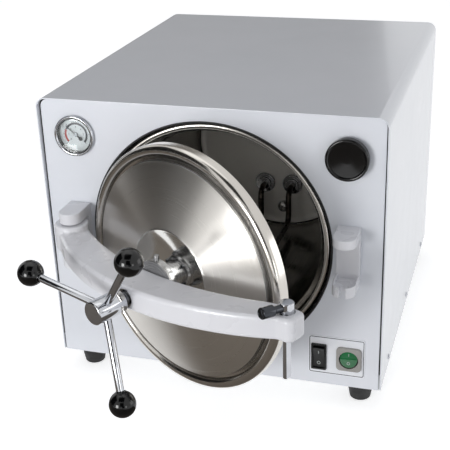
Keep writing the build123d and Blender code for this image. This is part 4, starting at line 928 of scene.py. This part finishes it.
def rounded_line(name, centre, wide, tall, corner, width, height, parts=8):
    """A thin raised frame with round corners, facing the front."""
    piece = empty_piece(name)
    shape = bmesh.new()
    rows = []
    for index in range(4 * (parts + 1)):
        quarter, step = divmod(index, parts + 1)
        turn = math.radians(90 * quarter + 90 * step / parts)
        sx = 1 if quarter in (0, 3) else -1
        sz = 1 if quarter in (0, 1) else -1
        row = []
        for grow, y in ((0, 0), (0, -height), (-width, -height), (-width, 0)):
            x = sx * (wide / 2 - corner) + (corner + grow) * math.cos(turn)
            z = sz * (tall / 2 - corner) + (corner + grow) * math.sin(turn)
            row.append(shape.verts.new((x / 1000, y / 1000, z / 1000)))
        rows.append(row)
    for a, b in zip(rows, rows[1:] + rows[:1]):
        for i in range(4):
            shape.faces.new((a[i], b[i], b[(i + 1) % 4], a[(i + 1) % 4]))
    bmesh.ops.recalc_face_normals(shape, faces=shape.faces)
    shape.to_mesh(piece.data)
    shape.free()
    piece.data.transform(Matrix.Translation(centre))
    return piece


border = rounded_line("plate_border", point(148, -0.8, 67), 63.6, 47.6, 2.4, 0.8, 0.06)
finish(border, ink_dark, "base", "black_plastic")

# %% Rocker switch
finish(refined("rocker_housing", 0.3), black_plastic, "base", "black_plastic",
       "rocker_housing")
finish(refined("rocker_switch", 0.3), black_plastic, "rocker_switch", "black_plastic",
       "rocker_switch")
finish(refined("power_housing", 0.3), grey_plastic, "base", "grey_plastic", "power_housing")
finish(refined("power_switch", 0.3), green_lens, "power_switch", "green_lens", "power_switch")

# %% [markdown]
# The switches are marked O and I in pale plastic, set into their faces. Each mark is
# a thin ring or bar, laid on the tilted half of the switch that it belongs to.

# %% Marks on the switches


def mark(kind, size, width, pivot, tilt, along, out, slope):
    """A ring or bar on a switch face; its place is given in the switch's own axes."""
    if kind == "ring":
        ring = [(0, size / 2), (0, size / 2 - width), (0.2, size / 2 - width), (0.2, size / 2)]
        piece = turned("mark", ring + ring[:1], Vector((0, 0, 0)), (0, 1, 0), 32)
    else:
        bpy.ops.object.select_all(action="DESELECT")
        bpy.ops.mesh.primitive_cube_add(size=1, location=(0, 0.0001, 0),
                                        scale=(width / 1000, 0.0002, size / 1000))
        piece = bpy.context.active_object
        bpy.ops.object.transform_apply(location=True, rotation=True, scale=True)
    turn = Matrix.Rotation(math.radians(tilt + slope), 4, "X")
    lean = math.radians(tilt)
    spot = pivot + Vector((0, -out * math.cos(lean) - along * math.sin(lean),
                           -out * math.sin(lean) + along * math.cos(lean))) / 1000
    piece.data.transform(Matrix.Translation(spot) @ turn)
    return piece


rocker_pivot = point(127.5, 4, 65)
marks = [mark("ring", 4.2, 0.7, rocker_pivot, 7, -7.5, 6.95, -8.4),
         mark("bar", 4.2, 0.8, rocker_pivot, 7, 7.5, 6.95, 8.4)]
finish(joined(*marks), ink_pale, "rocker_switch", "black_plastic").name = "rocker_marks"
power_pivot = point(162.5, 4, 65.8)
marks = [mark("ring", 3.6, 0.6, power_pivot, -7, -5.2, 7.4, -11.3),
         mark("bar", 3.6, 0.7, power_pivot, -7, 5.2, 7.4, 11.3)]
finish(joined(*marks), ink_pale, "power_switch", "green_lens").name = "power_marks"

# %% [markdown]
# ## Rear fittings
# The mains inlet, the drain spigot and the safety valve stand on the rear panel, and
# the pipes behind it are copper.

# %% Inlet, drain, safety valve and pipes
finish(refined("mains_inlet", 0.4), black_plastic, "base", "black_plastic", "mains_inlet")
finish(refined("drain_spigot", 0.3), brass, "base", "brass", "drain_spigot")
finish(refined("safety_valve", 0.4), brass, "base", "brass", "safety_valve")
for pipe in ("gauge_pipe", "vent_pipe", "drain_pipe"):
    finish(refined(pipe), copper, "base", "pipe_copper", pipe)

# %% [markdown]
# ## Studio
# The object stands on white paper in soft light, as for a catalogue. The main lamp is
# low in front and to the left, where it draws the bright fan on the lid. A second
# lamp fills from the right and a third lights the right side. Black and grey flags,
# which only reflections see, give the chrome and the lid their dark parts. The paper is
# also lit from behind, which the camera and the reflections see, so it is white and
# still takes a shadow.

# %% Floor, lamps and world


def seen_share(tree):
    """1 for rays of the camera, of reflections and through glass; 0 for the rest."""
    rays = node(tree, "ShaderNodeLightPath")
    mirrored = node(tree, "ShaderNodeMath", links={0: rays.outputs["Is Glossy Ray"],
                                                   1: rays.outputs["Is Transmission Ray"]},
                    operation="MAXIMUM")
    return node(tree, "ShaderNodeMath", links={0: rays.outputs["Is Camera Ray"],
                                               1: mirrored.outputs["Value"]},
                operation="MAXIMUM")


bpy.ops.object.select_all(action="DESELECT")
bpy.ops.mesh.primitive_plane_add(size=12, location=(0, 0, -0.0002))
floor = bpy.context.active_object
floor.name = "studio_floor"
floor_paint, tree, shader, place = start_finish("floor_paper", "F4F4F4", roughness=0.9)
tint(tree, shader, place, 400, "F2F2F2", "F6F6F6")
seen = seen_share(tree)
lit_share = node(tree, "ShaderNodeMath", {1: 0.62}, {0: seen.outputs["Value"]},
                 operation="MULTIPLY")
backlight = node(tree, "ShaderNodeEmission", {"Color": (1, 1, 1, 1)},
                 {"Strength": lit_share.outputs["Value"]})
paper = node(tree, "ShaderNodeAddShader", links={0: shader.outputs["BSDF"],
                                                 1: backlight.outputs["Emission"]})
output = next(n for n in tree.nodes if n.type == "OUTPUT_MATERIAL")
tree.links.new(paper.outputs["Shader"], output.inputs["Surface"])
floor.data.materials.append(floor_paint)
floor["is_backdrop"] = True


def lamp(name, energy, size, place, aim):
    """A soft square lamp that points at a spot."""
    light = bpy.data.lights.new(name, "AREA")
    light.energy = energy
    light.size = size
    holder = bpy.data.objects.new(name, light)
    bpy.context.scene.collection.objects.link(holder)
    holder.location = place
    holder.rotation_euler = (Vector(aim) - Vector(place)).to_track_quat("-Z", "Y").to_euler()
    return holder


lamp("overhead_lamp", 4, 1.6, (-0.3, 0.1, 2.1), (0, 0, 0.2))
lamp("main_lamp", 27, 0.8, (-0.9, -2.45, 0.42), (0, -0.05, 0.2))
lamp("fill_lamp", 3, 0.6, (1.9, -1.9, 0.32), (0, -0.05, 0.2))
lamp("side_lamp", 6.5, 1.2, (2.2, 0.4, 0.35), (0.1, 0.1, 0.12))


def card(name, colour, patch, first, second):
    """A matt card or cloth for the flags."""
    material, tree, shader, place = start_finish(name, colour, roughness=0.95)
    tint(tree, shader, place, patch, first, second)
    return material


black_felt = card("black_felt", "0C0B0A", 8, "0A0908", "0F0E0D")
grey_card = card("grey_card", "6A635B", 60, "676058", "6D665E")
tan_card = card("tan_card", "968D83", 60, "938A80", "999086")
pale_card = card("pale_card", "BEB9B2", 60, "BCB7B0", "C0BBB4")
flags = (("left_flag", 2.1, (-1.9, -0.6, 0.95), (0, 0, 0.2), black_felt),
         ("back_card", 2.6, (-1.4, 2.7, 1.45), (0, 0, 0.3), pale_card),
         ("top_flag", 1.6, (0.1, -0.95, 2.0), (0, -0.2, 0.2), black_felt),
         ("camera_flag", 1.1, (0.5, -2.0, 1.0), (0, 0, 0.2), black_felt),
         ("right_flag", 0.8, (1.1, -2.4, 0.3), (0, 0, 0.2), black_felt),
         ("floor_flag", 1.8, (-1.2, 0.05, 0.0006), (-1.2, 0.05, 1), grey_card),
         ("front_card", 1.0, (-0.2, -0.71, 0.0009), (-0.2, -0.71, 1), tan_card))
for name, size, place, aim, cloth in flags:
    bpy.ops.object.select_all(action="DESELECT")
    turn = (Vector(aim) - Vector(place)).to_track_quat("Z", "Y").to_euler()
    bpy.ops.mesh.primitive_plane_add(size=size, location=place, rotation=turn)
    flag = bpy.context.active_object
    flag.name = name
    flag.data.materials.append(cloth)
    flag.visible_camera = False
    flag.visible_diffuse = False
    flag.visible_shadow = False
    flag.visible_transmission = False
    flag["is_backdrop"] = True

world = bpy.data.worlds.new("studio_world")
bpy.context.scene.world = world
world.use_nodes = True
tree = world.node_tree
tree.nodes.clear()
seen = seen_share(tree)
soft = node(tree, "ShaderNodeBackground", {"Color": tone("F4F6FA"), "Strength": 0.42})
white = node(tree, "ShaderNodeBackground", {"Color": (1, 1, 1, 1), "Strength": 1.0})
blend = node(tree, "ShaderNodeMixShader", links={0: seen.outputs["Value"],
                                                 1: soft.outputs["Background"],
                                                 2: white.outputs["Background"]})
node(tree, "ShaderNodeOutputWorld", links={"Surface": blend.outputs["Shader"]})

# %% [markdown]
# ## Camera
# The photograph was taken from the right of the front and from above, with a longish
# lens held slightly off level. These values were found by fitting the case's edges.

# %% Camera at the photograph's view
turn_right = math.radians(17.62)
look_down = math.radians(23.79)
off_level = math.radians(-1.91)
forward = Vector((-math.sin(turn_right) * math.cos(look_down),
                  math.cos(turn_right) * math.cos(look_down), -math.sin(look_down)))
right = Vector((math.cos(turn_right), math.sin(turn_right), 0))
upward = right.cross(forward)
right, upward = (math.cos(off_level) * right + math.sin(off_level) * upward,
                 math.cos(off_level) * upward - math.sin(off_level) * right)
camera = bpy.data.objects.new("photo_camera", bpy.data.cameras.new("photo_camera"))
bpy.context.scene.collection.objects.link(camera)
camera.data.sensor_width = 36
camera.data.lens = 79.0
camera.data.clip_end = 50
camera.matrix_world = (Matrix.Translation(point(326.6, -970.5, 668.6))
                       @ Matrix((right, upward, -forward)).transposed().to_4x4())
bpy.context.scene.camera = camera
bpy.context.scene.view_settings.view_transform = "Standard"

# %% The visual box
low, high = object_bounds()
print("visual box", [round(v, 4) for v in low], [round(v, 4) for v in high])
